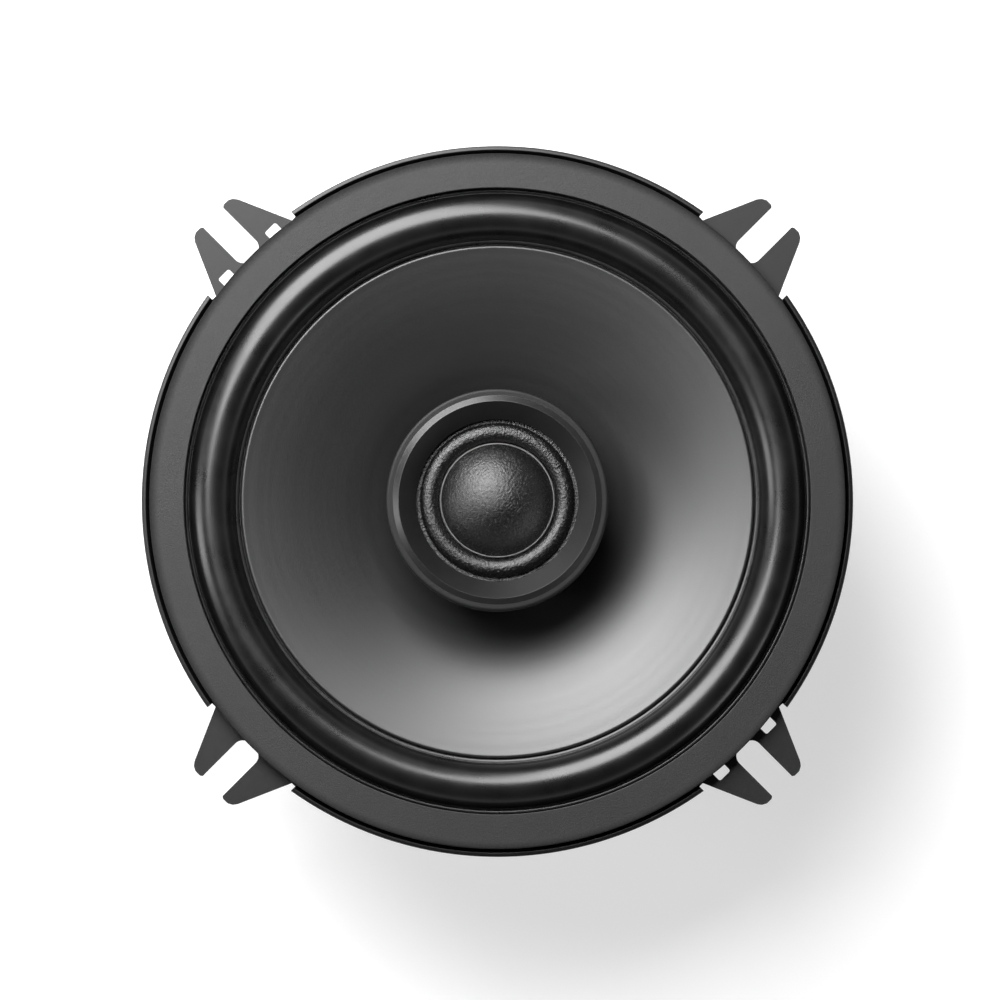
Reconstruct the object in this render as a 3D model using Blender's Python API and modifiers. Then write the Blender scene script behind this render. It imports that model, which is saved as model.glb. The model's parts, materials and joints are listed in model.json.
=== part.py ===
"""Coaxial car loudspeaker of the 13 cm class: a woofer in a pressed steel frame, with a
post-mounted dome tweeter at its centre.

Frame: +Z is the sound axis, pointing at the listener. The origin is the centre of the magnet's
rear face, on which the speaker stands. The four pairs of mounting ears lie on the X and Y axes,
and the four legs of the frame lie between them. Lengths are written in millimetres times MM.
"""
import math

import bmesh
import bpy
from mathutils import Matrix, Vector

MM = 0.001
GAP = 0.3 * MM  # between pieces that touch

# Motor
YOKE_RADIUS = 33.0 * MM
YOKE_THICKNESS = 5.0 * MM
MAGNET_RADIUS = 35.0 * MM
MAGNET_HOLE_RADIUS = 16.0 * MM
MAGNET_THICKNESS = 13.5 * MM
TOP_PLATE_THICKNESS = 5.0 * MM
TOP_PLATE_HOLE_RADIUS = 14.1 * MM
POLE_RADIUS = 12.35 * MM
POLE_HOLE_RADIUS = 4.8 * MM
RECESS_RADIUS = 9.0 * MM  # in the rear face, for the nut
RECESS_DEPTH = 6.5 * MM
WIRE_GROOVE_WIDTH = 3.2 * MM
WIRE_GROOVE_DEPTH = 2.4 * MM

# Levels of the motor's stack
MAGNET_Z = YOKE_THICKNESS + GAP
TOP_PLATE_Z = MAGNET_Z + MAGNET_THICKNESS + GAP
POLE_TOP_Z = TOP_PLATE_Z + TOP_PLATE_THICKNESS
GAP_CENTRE_Z = POLE_TOP_Z - TOP_PLATE_THICKNESS / 2

# Frame, a sheet whose lines below run through the middle of its thickness
SHEET = 0.9 * MM
FLOOR_Z = POLE_TOP_Z + GAP + SHEET / 2
LEDGE_Z = FLOOR_Z + 5.6 * MM
FLANGE_REAR_Z = 47.0 * MM
FLANGE_Z = FLANGE_REAR_Z + SHEET / 2
FLANGE_TOP_Z = FLANGE_REAR_Z + SHEET
FLOOR_HOLE_RADIUS = 16.0 * MM
LEDGE_INNER_RADIUS = 33.2 * MM
LEDGE_OUTER_RADIUS = 37.6 * MM
FLANGE_INNER_RADIUS = 57.8 * MM
LIP_RADIUS = 67.0 * MM
LIP_BEND = 0.9 * MM
LIP_HEIGHT = 3.0 * MM  # over the flange's rear face
WINDOW_WIDTH = 48.0 * MM
WINDOW_BOTTOM_Z = LEDGE_Z + 1.5 * MM
WINDOW_TOP_Z = 41.6 * MM
WINDOW_CORNER = 3.0 * MM
FRAME_RIVET_CIRCLE = 25.0 * MM
FRAME_RIVET_RADIUS = 1.6 * MM
FRAME_RIVET_HEAD = 3.0 * MM
UNDER_FLANGE = [(56.2 * MM, 44.0 * MM), (54.0 * MM, 41.9 * MM)]  # the sheet's bend into the legs
LEG_FOOT_RADIUS = 30.8 * MM  # where the legs' inner wall meets the floor
TAB_HOLE_RADIUS = 1.3 * MM
CUT_OVER = 2.0 * MM  # how far a cutter reaches past what it cuts

# Mounting ears, in pairs with an open slot between the two
EAR_TIP = 76.0 * MM
EAR_SHOULDER = 74.8 * MM
EAR_SHOULDER_OFFSET = 5.65 * MM
EAR_ROOT = 64.9 * MM
EAR_ROOT_OFFSET = 10.1 * MM
EAR_INNER_END = 61.0 * MM
EAR_NOTCH_OFFSET = 11.1 * MM
SLOT_WIDTH = 5.3 * MM
SLOT_BOTTOM = 65.2 * MM
SLOT_CORNER = 1.3 * MM
EAR_SKIN = 0.02 * MM  # the ears' faces lie this far inside the flange's
ROOT_HOLE = (61.3 * MM, 66.9 * MM, 4.8 * MM, 7.6 * MM)  # nearest, furthest, and the two sides

# Moving parts of the woofer
FORMER_RADIUS = 12.75 * MM  # inside
FORMER_WALL = 0.4 * MM
FORMER_BOTTOM_Z = 16.0 * MM
FORMER_TOP_Z = 35.2 * MM
WINDING_WALL = 0.4 * MM
WINDING_HEIGHT = 10.0 * MM
SPIDER_Z = LEDGE_Z + SHEET / 2 + GAP + 0.25 * MM
SPIDER_SHEET = 0.5 * MM
SPIDER_RADIUS = 37.2 * MM
SPIDER_WAVES = 3
SPIDER_WAVE_HEIGHT = 1.1 * MM
CONE_SHEET = 0.7 * MM
CONE_NECK_Z = 33.9 * MM
CONE_NECK_RADIUS = 13.9 * MM
CONE_RADIUS = 49.0 * MM
CONE_RIM_Z = 47.7 * MM
CONE_FLARE = 1.5 * MM  # how far the wall stands above a straight cone, halfway up
SURROUND_SHEET = 0.6 * MM
LIP_START = 48.4 * MM
ROLL_INNER = 49.3 * MM
ROLL_OUTER = 57.9 * MM
ROLL_HEIGHT = 3.4 * MM
SEAT_OUTER = 64.8 * MM
SEAT_Z = FLANGE_TOP_Z + GAP + SURROUND_SHEET / 2
GASKET_INNER = 59.1 * MM
GASKET_OUTER = 65.5 * MM
GASKET_THICKNESS = 2.4 * MM

# Tweeter
CROWN_Z = 57.0 * MM
BEZEL_RADIUS = 20.9 * MM
CREST_RADIUS = 18.6 * MM
BAND_RADIUS = 19.6 * MM  # inner edge of the flat band outside the crest
BAND_Z = 56.35 * MM
DISH_INNER = 15.0 * MM
DISH_INNER_Z = 53.9 * MM
BEZEL_BOTTOM_Z = 50.6 * MM
HOUSING_BOTTOM_Z = 41.0 * MM
HOUSING_WALL = 1.2 * MM
HOUSING_SKIRT_Z = 48.6 * MM  # the straight skirt's lower end
HOUSING_TAPER = [(16.6 * MM, 42.2 * MM), (15.4 * MM, 41.0 * MM)]
BEZEL_CHAMFER = 0.4 * MM
BEZEL_WALL = 1.5 * MM
BEZEL_UNDER_Z = 52.6 * MM
CLOTH_SEAT_RADIUS = 17.4 * MM
DOME_RADIUS = 10.5 * MM
DOME_HEIGHT = 5.8 * MM
DOME_BASE_Z = 53.3 * MM
DOME_SHEET = 0.3 * MM
TWEETER_ROLL_OUTER = 14.6 * MM
TWEETER_ROLL_INNER = 10.9 * MM
TWEETER_ROLL_HEIGHT = 1.3 * MM
POT_RADIUS = 14.5 * MM
POT_BOTTOM_Z = 46.3 * MM
POT_TOP_Z = 52.7 * MM
POT_INNER = 11.3 * MM
POT_BASE = 1.6 * MM
POT_CHAMFER = 0.8 * MM
TWEETER_MAGNET_RADIUS = 9.0 * MM
TWEETER_MAGNET_THICKNESS = 2.8 * MM
POLE_PLATE_RADIUS = 9.6 * MM
FELT_RADIUS = 7.6 * MM
TWEETER_FORMER_RADIUS = 9.95 * MM  # inside
TWEETER_FORMER_WALL = 0.3 * MM
TWEETER_FORMER_BOTTOM_Z = 50.2 * MM
TWEETER_WINDING_Z = (50.7 * MM, 52.6 * MM)
TWEETER_WINDING_WALL = 0.43 * MM
TWEETER_CLOTH_RADIUS = 17.0 * MM
LUG_OFFSET = 4.0 * MM
LUG_HALF_WIDTH = 1.0 * MM
LUG_X = (-16.5 * MM, -16.0 * MM)
LUG_Z = (46.6 * MM, 51.0 * MM)
BOLT_RADIUS = 4.5 * MM
BOLT_BORE = 2.6 * MM
BOLT_HEAD_RADIUS = 6.5 * MM
BOLT_HEAD_THICKNESS = 1.2 * MM
BOLT_END_Z = 2.6 * MM
SPACER_RADIUS = 7.0 * MM
WASHER_RADIUS = 7.8 * MM
WASHER_THICKNESS = 0.6 * MM
NUT_RADIUS = 7.5 * MM  # over its corners
NUT_THICKNESS = 2.4 * MM
WIRE_RADIUS = 0.5 * MM

# Terminal board, on the -X side
BOARD_SIZE = (9.8 * MM, 30.0 * MM, 1.5 * MM)
BOARD_X = -43.1 * MM
BOARD_Z = LEDGE_Z + SHEET / 2 + GAP
BLADE_OFFSET = 11.5 * MM
BLADE_THICKNESS = 0.8 * MM
BLADE_Z = BOARD_Z + BOARD_SIZE[2] + GAP
EYELET_X = -42.2 * MM
TAG_PLACE = (-40.4 * MM, -6.9 * MM)
TAB_SIZE = (10.0 * MM, 8.0 * MM)
BOARD_CLEARANCE = 1.0 * MM  # between the board's ends and the legs beside it
EYELET_SHANK = 1.2 * MM
EYELET_HEAD = 1.9 * MM
BOARD_RIVET_SHANK = 1.0 * MM
BOARD_RIVET_HEAD = 1.6 * MM
METAL_HOLE_RADIUS = 1.5 * MM  # in the blades and the tag, round an eyelet
TAG_HALF_WIDTH = 1.7 * MM
TAG_THICKNESS = 0.5 * MM
BLADE_ENDS = (-39.2 * MM, -55.4 * MM)
BLADE_WIDTHS = {"terminal_positive": 6.3 * MM, "terminal_negative": 4.8 * MM}
BLADE_TAPER = 0.9 * MM
LATCH_X = -52.0 * MM
LATCH_RADIUS = 0.8 * MM
TAB_RIVET_X = -39.9 * MM
CAPACITOR_RADIUS = 3.15 * MM
CAPACITOR_LENGTH = 11.0 * MM
CAPACITOR_X = -44.6 * MM

ROUND = 40  # sides of a large turned piece
SMALL_ROUND = 24
TINY_ROUND = 12
MERGE = 0.01 * MM
QUARTERS = [math.radians(90 * k) for k in range(4)]
DIAGONALS = [math.radians(45 + 90 * k) for k in range(4)]

PARTS = "coaxial_speaker"
CUTTERS = "cutters"


# ---------------------------------------------------------------- scene and materials

def clear_scene():
    for obj in list(bpy.data.objects):
        bpy.data.objects.remove(obj, do_unlink=True)
    for name in (PARTS, CUTTERS):
        collection = bpy.data.collections.new(name)
        bpy.context.scene.collection.children.link(collection)


def material(name, colour, roughness, metallic=0.0):
    made = bpy.data.materials.get(name)
    if made is None:
        made = bpy.data.materials.new(name)
        made.use_nodes = True
        shader = made.node_tree.nodes["Principled BSDF"]
        shader.inputs["Base Color"].default_value = (*colour, 1.0)
        shader.inputs["Roughness"].default_value = roughness
        shader.inputs["Metallic"].default_value = metallic
    return made


def black_steel():
    return material("black_painted_steel", (0.02, 0.02, 0.021), 0.45, 0.3)


def zinc():
    return material("zinc_plated_steel", (0.55, 0.56, 0.57), 0.35, 1.0)


def ferrite():
    return material("ferrite", (0.035, 0.034, 0.034), 0.7)


def gasket_foam():
    return material("gasket_foam", (0.03, 0.03, 0.031), 0.9)


def rubber():
    return material("black_rubber", (0.008, 0.008, 0.008), 0.35)


def cone_plastic():
    return material("satin_polypropylene", (0.03, 0.031, 0.033), 0.42)


def black_plastic():
    return material("black_plastic", (0.02, 0.02, 0.021), 0.4)


def kapton():
    return material("polyimide_former", (0.35, 0.17, 0.05), 0.4)


def copper():
    return material("enamelled_copper", (0.60, 0.25, 0.10), 0.3, 1.0)


def cotton():
    return material("resin_dipped_cotton", (0.72, 0.48, 0.20), 0.9)


def phenolic():
    return material("phenolic_board", (0.28, 0.13, 0.05), 0.6)


def brass():
    return material("tinned_brass", (0.62, 0.55, 0.38), 0.3, 1.0)


def braid():
    return material("copper_braid", (0.65, 0.34, 0.18), 0.45, 1.0)


def wire_red():
    return material("red_insulation", (0.45, 0.02, 0.02), 0.5)


def wire_black():
    return material("black_insulation", (0.015, 0.015, 0.015), 0.5)


def sleeve():
    return material("capacitor_sleeve", (0.03, 0.05, 0.12), 0.35)


def neodymium():
    return material("nickel_plated_magnet", (0.60, 0.60, 0.61), 0.25, 1.0)


def dome_cloth():
    return material("coated_dome_cloth", (0.012, 0.012, 0.012), 0.6)


def felt():
    return material("grey_felt", (0.18, 0.18, 0.18), 1.0)


# ---------------------------------------------------------------- modelling helpers

def add(obj, surface, collection=PARTS):
    """Puts an object in its collection and gives it its material."""
    for other in list(obj.users_collection):
        other.objects.unlink(obj)
    bpy.data.collections[collection].objects.link(obj)
    if surface is not None:
        obj.data.materials.clear()
        obj.data.materials.append(surface)
    return obj


def as_cutter(obj):
    add(obj, None, CUTTERS)
    obj.hide_render = True
    obj.display_type = "WIRE"
    return obj


def arc(centre, radius, start, end, steps):
    """Points (radius, height) on an arc between two angles in degrees."""
    angles = [math.radians(start + (end - start) * k / steps) for k in range(steps + 1)]
    return [(centre[0] + radius * math.cos(a), centre[1] + radius * math.sin(a)) for a in angles]


def half_roll(inner, outer, base, height, steps):
    """Points of a shallow arch from one radius to another."""
    chord = outer - inner
    radius = (chord * chord / 4 + height * height) / (2 * height)
    swing = math.degrees(math.asin(min(1.0, chord / 2 / radius)))
    if height > chord / 2:
        swing = 180 - swing
    centre = ((inner + outer) / 2, base + height - radius)
    return arc(centre, radius, 90 + swing, 90 - swing, steps)


def turned(name, profile, surface, sides=ROUND, closed=True, wall=None, collection=PARTS):
    """A profile of (radius, height) points turned about Z. An open profile with a wall is a
    sheet of that thickness, centred on the profile."""
    mesh = bpy.data.meshes.new(name)
    points = [(r, 0.0, z) for r, z in profile]
    edges = [(k, k + 1) for k in range(len(points) - 1)]
    if closed:
        edges.append((len(points) - 1, 0))
    mesh.from_pydata(points, edges, [])
    obj = bpy.data.objects.new(name, mesh)
    screw = obj.modifiers.new("turn", "SCREW")
    screw.axis = "Z"
    screw.angle = math.tau
    screw.steps = sides
    screw.render_steps = sides
    screw.use_merge_vertices = True
    screw.merge_threshold = MERGE
    screw.use_smooth_shade = True
    if wall:
        solid = obj.modifiers.new("sheet", "SOLIDIFY")
        solid.thickness = wall
        solid.offset = 0.0
        solid.use_even_offset = True
        solid.use_rim = True
    if collection == CUTTERS:
        return as_cutter(obj)
    return add(obj, surface, collection)


def ring(name, inner, outer, low, high, surface, sides=ROUND, chamfer=0.0, collection=PARTS):
    """A flat ring of rectangular section with chamfered outer edges."""
    profile = [
        (inner, high),
        (outer - chamfer, high),
        (outer, high - chamfer),
        (outer, low + chamfer),
        (outer - chamfer, low),
        (inner, low),
    ]
    if chamfer == 0.0:
        profile = [(inner, high), (outer, high), (outer, low), (inner, low)]
    return turned(name, profile, surface, sides, collection=collection)


def disc(name, radius, low, high, surface, place=(0.0, 0.0), sides=SMALL_ROUND, collection=PARTS):
    bpy.ops.mesh.primitive_cylinder_add(
        vertices=sides, radius=radius, depth=high - low, location=(*place, (low + high) / 2)
    )
    obj = bpy.context.object
    obj.name = name
    obj.data.name = name
    shade_round(obj)
    if collection == CUTTERS:
        return as_cutter(obj)
    return add(obj, surface)


def box(name, low, high, surface=None, bevel=0.0, collection=PARTS):
    """A box between two corners, with bevelled edges if asked."""
    middle = [(a + b) / 2 for a, b in zip(low, high)]
    size = [b - a for a, b in zip(low, high)]
    bpy.ops.mesh.primitive_cube_add(size=1.0, location=middle)
    obj = bpy.context.object
    obj.name = name
    obj.data.name = name
    obj.data.transform(Matrix.Diagonal((*size, 1.0)))
    if bevel:
        edge = obj.modifiers.new("bevel", "BEVEL")
        edge.width = bevel
        edge.segments = 2
    if collection == CUTTERS:
        return as_cutter(obj)
    return add(obj, surface)


def shade_round(obj, degrees=35):
    obj.data.shade_smooth()
    obj.data.set_sharp_from_angle(angle=math.radians(degrees))


def outline(name, points, low, high, surface, collection=PARTS):
    """A closed flat outline of (x, y) points, made a plate between two heights."""
    curve = bpy.data.curves.new(name, "CURVE")
    curve.dimensions = "2D"
    curve.fill_mode = "BOTH"
    curve.extrude = (high - low) / 2
    spline = curve.splines.new("POLY")
    spline.points.add(len(points) - 1)
    for target, (x, y) in zip(spline.points, points):
        target.co = (x, y, 0.0, 1.0)
    spline.use_cyclic_u = True
    obj = bpy.data.objects.new(name, curve)
    obj.location.z = (low + high) / 2
    bpy.context.scene.collection.objects.link(obj)
    solid = meshed(obj)
    if collection == CUTTERS:
        return as_cutter(solid)
    return add(solid, surface)


def meshed(obj):
    """Replaces a curve object with the mesh it makes, its caps joined on."""
    evaluated = obj.evaluated_get(bpy.context.evaluated_depsgraph_get())
    mesh = bpy.data.meshes.new_from_object(evaluated)
    shape = bmesh.new()
    shape.from_mesh(mesh)
    bmesh.ops.remove_doubles(shape, verts=shape.verts, dist=MERGE / 10)
    shape.to_mesh(mesh)
    shape.free()
    name = obj.name
    place = evaluated.matrix_world.copy()
    bpy.data.objects.remove(obj, do_unlink=True)
    made = bpy.data.objects.new(name, mesh)
    made.matrix_world = place
    bpy.context.scene.collection.objects.link(made)
    return made


def smooth_route(stops, step):
    """Points spaced about step apart on a smooth curve through the stops."""
    stops = [Vector(s) for s in stops]
    ends = [2 * stops[0] - stops[1], *stops, 2 * stops[-1] - stops[-2]]
    route = [stops[0]]
    for k in range(1, len(ends) - 2):
        before, start, end, after = ends[k - 1 : k + 3]
        pieces = max(1, round((end - start).length / step))
        for j in range(1, pieces + 1):
            t = j / pieces
            route.append(
                0.5
                * (
                    2 * start
                    + (end - before) * t
                    + (2 * before - 5 * start + 4 * end - after) * t**2
                    + (3 * start - before - 3 * end + after) * t**3
                )
            )
    return route


def wire(name, stops, radius, surface, step):
    """A round wire along a smooth route through the stops."""
    route = smooth_route(stops, step)
    curve = bpy.data.curves.new(name, "CURVE")
    curve.dimensions = "3D"
    curve.bevel_depth = radius
    curve.bevel_resolution = 2
    curve.use_fill_caps = True
    spline = curve.splines.new("POLY")
    spline.points.add(len(route) - 1)
    for target, point in zip(spline.points, route):
        target.co = (*point, 1.0)
    obj = bpy.data.objects.new(name, curve)
    bpy.context.scene.collection.objects.link(obj)
    return add(obj, surface)


def combine(obj, tool, operation="DIFFERENCE"):
    """Cuts a tool out of an object, or joins it on."""
    if tool.name not in bpy.data.collections[CUTTERS].objects:
        as_cutter(tool)
    boolean = obj.modifiers.new(f"{operation.lower()}_{tool.name}", "BOOLEAN")
    boolean.operation = operation
    boolean.object = tool
    boolean.solver = "EXACT"


def turn(obj, angle):
    """Turns an object about the speaker's axis."""
    obj.matrix_world = Matrix.Rotation(angle, 4, "Z") @ obj.matrix_world


# ---------------------------------------------------------------- motor

def make_yoke():
    chamfer = 1.0 * MM
    relief = 0.8 * MM
    profile = [
        (POLE_HOLE_RADIUS, POLE_TOP_Z),
        (POLE_RADIUS - relief, POLE_TOP_Z),
        (POLE_RADIUS, POLE_TOP_Z - relief),
        (POLE_RADIUS, YOKE_THICKNESS),
        (YOKE_RADIUS, YOKE_THICKNESS),
        (YOKE_RADIUS, chamfer),
        (YOKE_RADIUS - chamfer, 0.0),
        (RECESS_RADIUS, 0.0),
        (RECESS_RADIUS, RECESS_DEPTH),
        (POLE_HOLE_RADIUS, RECESS_DEPTH),
    ]
    yoke = turned("yoke", profile, zinc())
    groove = box(
        "wire_groove",
        (-YOKE_RADIUS - 5 * MM, -WIRE_GROOVE_WIDTH / 2, -5 * MM),
        (-RECESS_RADIUS + 2 * MM, WIRE_GROOVE_WIDTH / 2, WIRE_GROOVE_DEPTH),
        collection=CUTTERS,
    )
    combine(yoke, groove)


def make_magnet():
    ring(
        "magnet_ring",
        MAGNET_HOLE_RADIUS,
        MAGNET_RADIUS,
        MAGNET_Z,
        MAGNET_Z + MAGNET_THICKNESS,
        ferrite(),
        chamfer=0.8 * MM,
    )


def make_top_plate():
    plate = ring(
        "top_plate",
        TOP_PLATE_HOLE_RADIUS,
        YOKE_RADIUS,
        TOP_PLATE_Z,
        POLE_TOP_Z,
        zinc(),
        chamfer=0.5 * MM,
    )
    for number, angle in enumerate(DIAGONALS, 1):
        combine(plate, rivet_hole(f"plate_hole_{number}", angle, TOP_PLATE_Z - GAP, POLE_TOP_Z + GAP))


# ---------------------------------------------------------------- frame

def on_circle(radius, angle):
    return (radius * math.cos(angle), radius * math.sin(angle))


def rivet_hole(name, angle, low, high):
    return disc(
        name,
        FRAME_RIVET_RADIUS + GAP,
        low,
        high,
        None,
        on_circle(FRAME_RIVET_CIRCLE, angle),
        TINY_ROUND,
        CUTTERS,
    )


def frame_section():
    """The line of the frame's sheet, from the flange's lip down to the floor's hole."""
    lip = LIP_RADIUS - SHEET / 2
    bend = arc((lip - LIP_BEND, FLANGE_Z + LIP_BEND), LIP_BEND, 0, -90, 3)
    return [
        (lip, FLANGE_REAR_Z + LIP_HEIGHT),
        *bend,
        (FLANGE_INNER_RADIUS, FLANGE_Z),
        *UNDER_FLANGE,
        (LEDGE_OUTER_RADIUS + 1.2 * MM, LEDGE_Z + 1.0 * MM),
        (LEDGE_OUTER_RADIUS, LEDGE_Z),
        (LEDGE_INNER_RADIUS, LEDGE_Z),
        (LEG_FOOT_RADIUS + 0.8 * MM, FLOOR_Z + 0.6 * MM),
        (LEG_FOOT_RADIUS, FLOOR_Z),
        (FLOOR_HOLE_RADIUS, FLOOR_Z),
    ]


def ear_pair_outline():
    """Half of an ear pair's outline, then the mirrored half, with the ears along +X."""
    side = SLOT_WIDTH / 2
    corner = arc((SLOT_BOTTOM + SLOT_CORNER, side - SLOT_CORNER), SLOT_CORNER, 180, 90, 3)
    half = [
        *corner,
        (EAR_TIP, side),
        (EAR_TIP - 0.1 * MM, 4.4 * MM),
        (EAR_TIP - 0.45 * MM, 5.2 * MM),
        (EAR_SHOULDER, EAR_SHOULDER_OFFSET),
        (EAR_ROOT, EAR_ROOT_OFFSET),
        (EAR_INNER_END, EAR_ROOT_OFFSET),
    ]
    return half + [(x, -y) for x, y in reversed(half)]


def make_frame():
    frame = turned(
        "basket_frame", frame_section(), black_steel(), closed=False, wall=SHEET
    )
    above = FLANGE_REAR_Z + LIP_HEIGHT + CUT_OVER
    below = FLANGE_REAR_Z - CUT_OVER
    for number, angle in enumerate(QUARTERS, 1):
        notch = box(
            f"lip_notch_{number}",
            (EAR_ROOT, -EAR_NOTCH_OFFSET, below),
            (EAR_TIP, EAR_NOTCH_OFFSET, above),
            collection=CUTTERS,
        )
        turn(notch, angle)
        combine(frame, notch)
    for number, angle in enumerate(QUARTERS, 1):
        ears = outline(
            f"ears_{number}",
            ear_pair_outline(),
            FLANGE_REAR_Z + EAR_SKIN,
            FLANGE_TOP_Z - EAR_SKIN,
            None,
            CUTTERS,
        )
        turn(ears, angle)
        combine(frame, ears, "UNION")
    for number, angle in enumerate(QUARTERS, 1):
        window = box(
            f"window_{number}",
            (LEDGE_INNER_RADIUS + CUT_OVER, -WINDOW_WIDTH / 2, WINDOW_BOTTOM_Z),
            (LIP_RADIUS + CUT_OVER, WINDOW_WIDTH / 2, WINDOW_TOP_Z),
            bevel=WINDOW_CORNER,
            collection=CUTTERS,
        )
        turn(window, angle)
        combine(frame, window)
    board_half = BOARD_SIZE[1] / 2 + BOARD_CLEARANCE
    seat = box(
        "board_seat",
        (-LIP_RADIUS, -board_half, LEDGE_Z + SHEET / 2 + EAR_SKIN),
        (-LEDGE_OUTER_RADIUS + GAP, board_half, WINDOW_BOTTOM_Z + WINDOW_CORNER),
        collection=CUTTERS,
    )
    combine(frame, seat)
    tab = box(
        "terminal_tab",
        (-LEDGE_OUTER_RADIUS + MM - TAB_SIZE[0], -TAB_SIZE[1] / 2, LEDGE_Z - SHEET / 2 + EAR_SKIN),
        (-LEDGE_OUTER_RADIUS + MM, TAB_SIZE[1] / 2, LEDGE_Z + SHEET / 2 - EAR_SKIN),
        collection=CUTTERS,
    )
    combine(frame, tab, "UNION")
    tab_hole = disc(
        "tab_hole",
        TAB_HOLE_RADIUS,
        LEDGE_Z - CUT_OVER,
        LEDGE_Z + CUT_OVER,
        None,
        (TAB_RIVET_X, 0.0),
        TINY_ROUND,
        CUTTERS,
    )
    combine(frame, tab_hole)
    for number, angle in enumerate(DIAGONALS, 1):
        hole = rivet_hole(f"floor_hole_{number}", angle, FLOOR_Z - CUT_OVER, FLOOR_Z + CUT_OVER)
        combine(frame, hole)
    near, far, side_a, side_b = ROOT_HOLE
    for pair, angle in enumerate((QUARTERS[1], QUARTERS[3]), 1):
        for side in (1, -1):
            low_y, high_y = sorted((side * side_a, side * side_b))
            slit = box(
                f"root_hole_{pair}_{'left' if side > 0 else 'right'}",
                (near, low_y, below),
                (far, high_y, above),
                collection=CUTTERS,
            )
            turn(slit, angle)
            combine(frame, slit)
    return frame


def make_frame_rivets():
    head_low = FLOOR_Z + SHEET / 2 + GAP
    profile = [
        (0.0, head_low + 1.2 * MM),
        (FRAME_RIVET_HEAD * 0.6, head_low + 1.1 * MM),
        (FRAME_RIVET_HEAD, head_low + 0.4 * MM),
        (FRAME_RIVET_HEAD, head_low),
        (FRAME_RIVET_RADIUS, head_low),
        (FRAME_RIVET_RADIUS, TOP_PLATE_Z + GAP),
        (0.0, TOP_PLATE_Z + GAP),
    ]
    for number, angle in enumerate(DIAGONALS, 1):
        rivet = turned(
            f"frame_rivet_{number}", profile, black_steel(), TINY_ROUND, closed=False
        )
        rivet.location = (*on_circle(FRAME_RIVET_CIRCLE, angle), 0.0)


# ---------------------------------------------------------------- woofer's soft and moving parts

def cone_height(radius):
    """Middle of the cone's wall, steeper at the neck than at the rim."""
    t = (radius - CONE_NECK_RADIUS) / (CONE_RADIUS - CONE_NECK_RADIUS)
    straight = CONE_NECK_Z + t * (CONE_RIM_Z - CONE_NECK_Z)
    return straight + CONE_FLARE * 4 * t * (1 - t)


def make_cone():
    steps = 7
    line = []
    for k in range(steps + 1):
        radius = CONE_RADIUS + (CONE_NECK_RADIUS - CONE_RADIUS) * k / steps
        line.append((radius, cone_height(radius)))
    line.append((CONE_NECK_RADIUS, CONE_NECK_Z - 1.3 * MM))
    turned("cone", line, cone_plastic(), closed=False, wall=CONE_SHEET)


def make_surround():
    lip_z = CONE_RIM_Z + CONE_SHEET / 2 + GAP + SURROUND_SHEET / 2
    roll = half_roll(ROLL_INNER, ROLL_OUTER, SEAT_Z, ROLL_HEIGHT, 8)
    line = [(LIP_START, lip_z), *roll, (SEAT_OUTER, SEAT_Z)]
    line.reverse()
    turned("surround", line, rubber(), closed=False, wall=SURROUND_SHEET)


def make_gasket():
    low = SEAT_Z + SURROUND_SHEET / 2 + GAP
    ring(
        "front_gasket",
        GASKET_INNER,
        GASKET_OUTER,
        low,
        low + GASKET_THICKNESS,
        gasket_foam(),
        chamfer=0.4 * MM,
    )


def make_voice_coil():
    outer = FORMER_RADIUS + FORMER_WALL
    ring("voice_coil_former", FORMER_RADIUS, outer, FORMER_BOTTOM_Z, FORMER_TOP_Z, kapton())
    ring(
        "voice_coil_winding",
        outer + 0.02 * MM,
        outer + WINDING_WALL,
        GAP_CENTRE_Z - WINDING_HEIGHT / 2,
        GAP_CENTRE_Z + WINDING_HEIGHT / 2,
        copper(),
    )


def make_spider():
    """A disc of corrugated cloth, its collar on the former and its rim on the frame's ledge."""
    collar = FORMER_RADIUS + FORMER_WALL + GAP + SPIDER_SHEET / 2
    first, last = collar + 1.6 * MM, 32.6 * MM
    steps = 4 * SPIDER_WAVES
    line = [(SPIDER_RADIUS, SPIDER_Z)]
    for k in range(steps + 1):
        t = k / steps
        height = SPIDER_WAVE_HEIGHT * math.sin(math.tau * SPIDER_WAVES * t)
        line.append((last + (first - last) * t, SPIDER_Z + height))
    line.append((collar, SPIDER_Z))
    line.append((collar, SPIDER_Z + 0.9 * MM))
    turned("spider", line, cotton(), closed=False, wall=SPIDER_SHEET)


def make_tinsel_leads():
    radius = 0.5 * MM
    top = BLADE_Z + BLADE_THICKNESS + GAP + radius
    for name, side in (("tinsel_lead_positive", 1), ("tinsel_lead_negative", -1)):
        stops = [
            (-40.2 * MM, side * BLADE_OFFSET, top),
            (-37.0 * MM, side * 10.9 * MM, top + 1.7 * MM),
            (-31.0 * MM, side * 9.2 * MM, top + 1.9 * MM),
            (-24.0 * MM, side * 7.1 * MM, top - 0.1 * MM),
            (-18.0 * MM, side * 5.3 * MM, top - 1.3 * MM),
            (-14.7 * MM, side * 4.3 * MM, top - 1.6 * MM),
        ]
        wire(name, stops, radius, braid(), 2.2 * MM)


# ---------------------------------------------------------------- terminal board

def eyelet_profile(low, high, shank, head):
    """A rivet between two heights, with a thin head at each end."""
    edge = 0.5 * MM
    return [
        (0.0, high + edge),
        (head, high + edge),
        (head, high),
        (shank, high),
        (shank, low),
        (head, low),
        (head, low - edge),
        (0.0, low - edge),
    ]


def make_eyelet(name, place, low, high, shank, head, surface):
    eyelet = turned(
        name, eyelet_profile(low, high, shank, head), surface, TINY_ROUND, closed=False
    )
    eyelet.location = (*place, 0.0)


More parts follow.
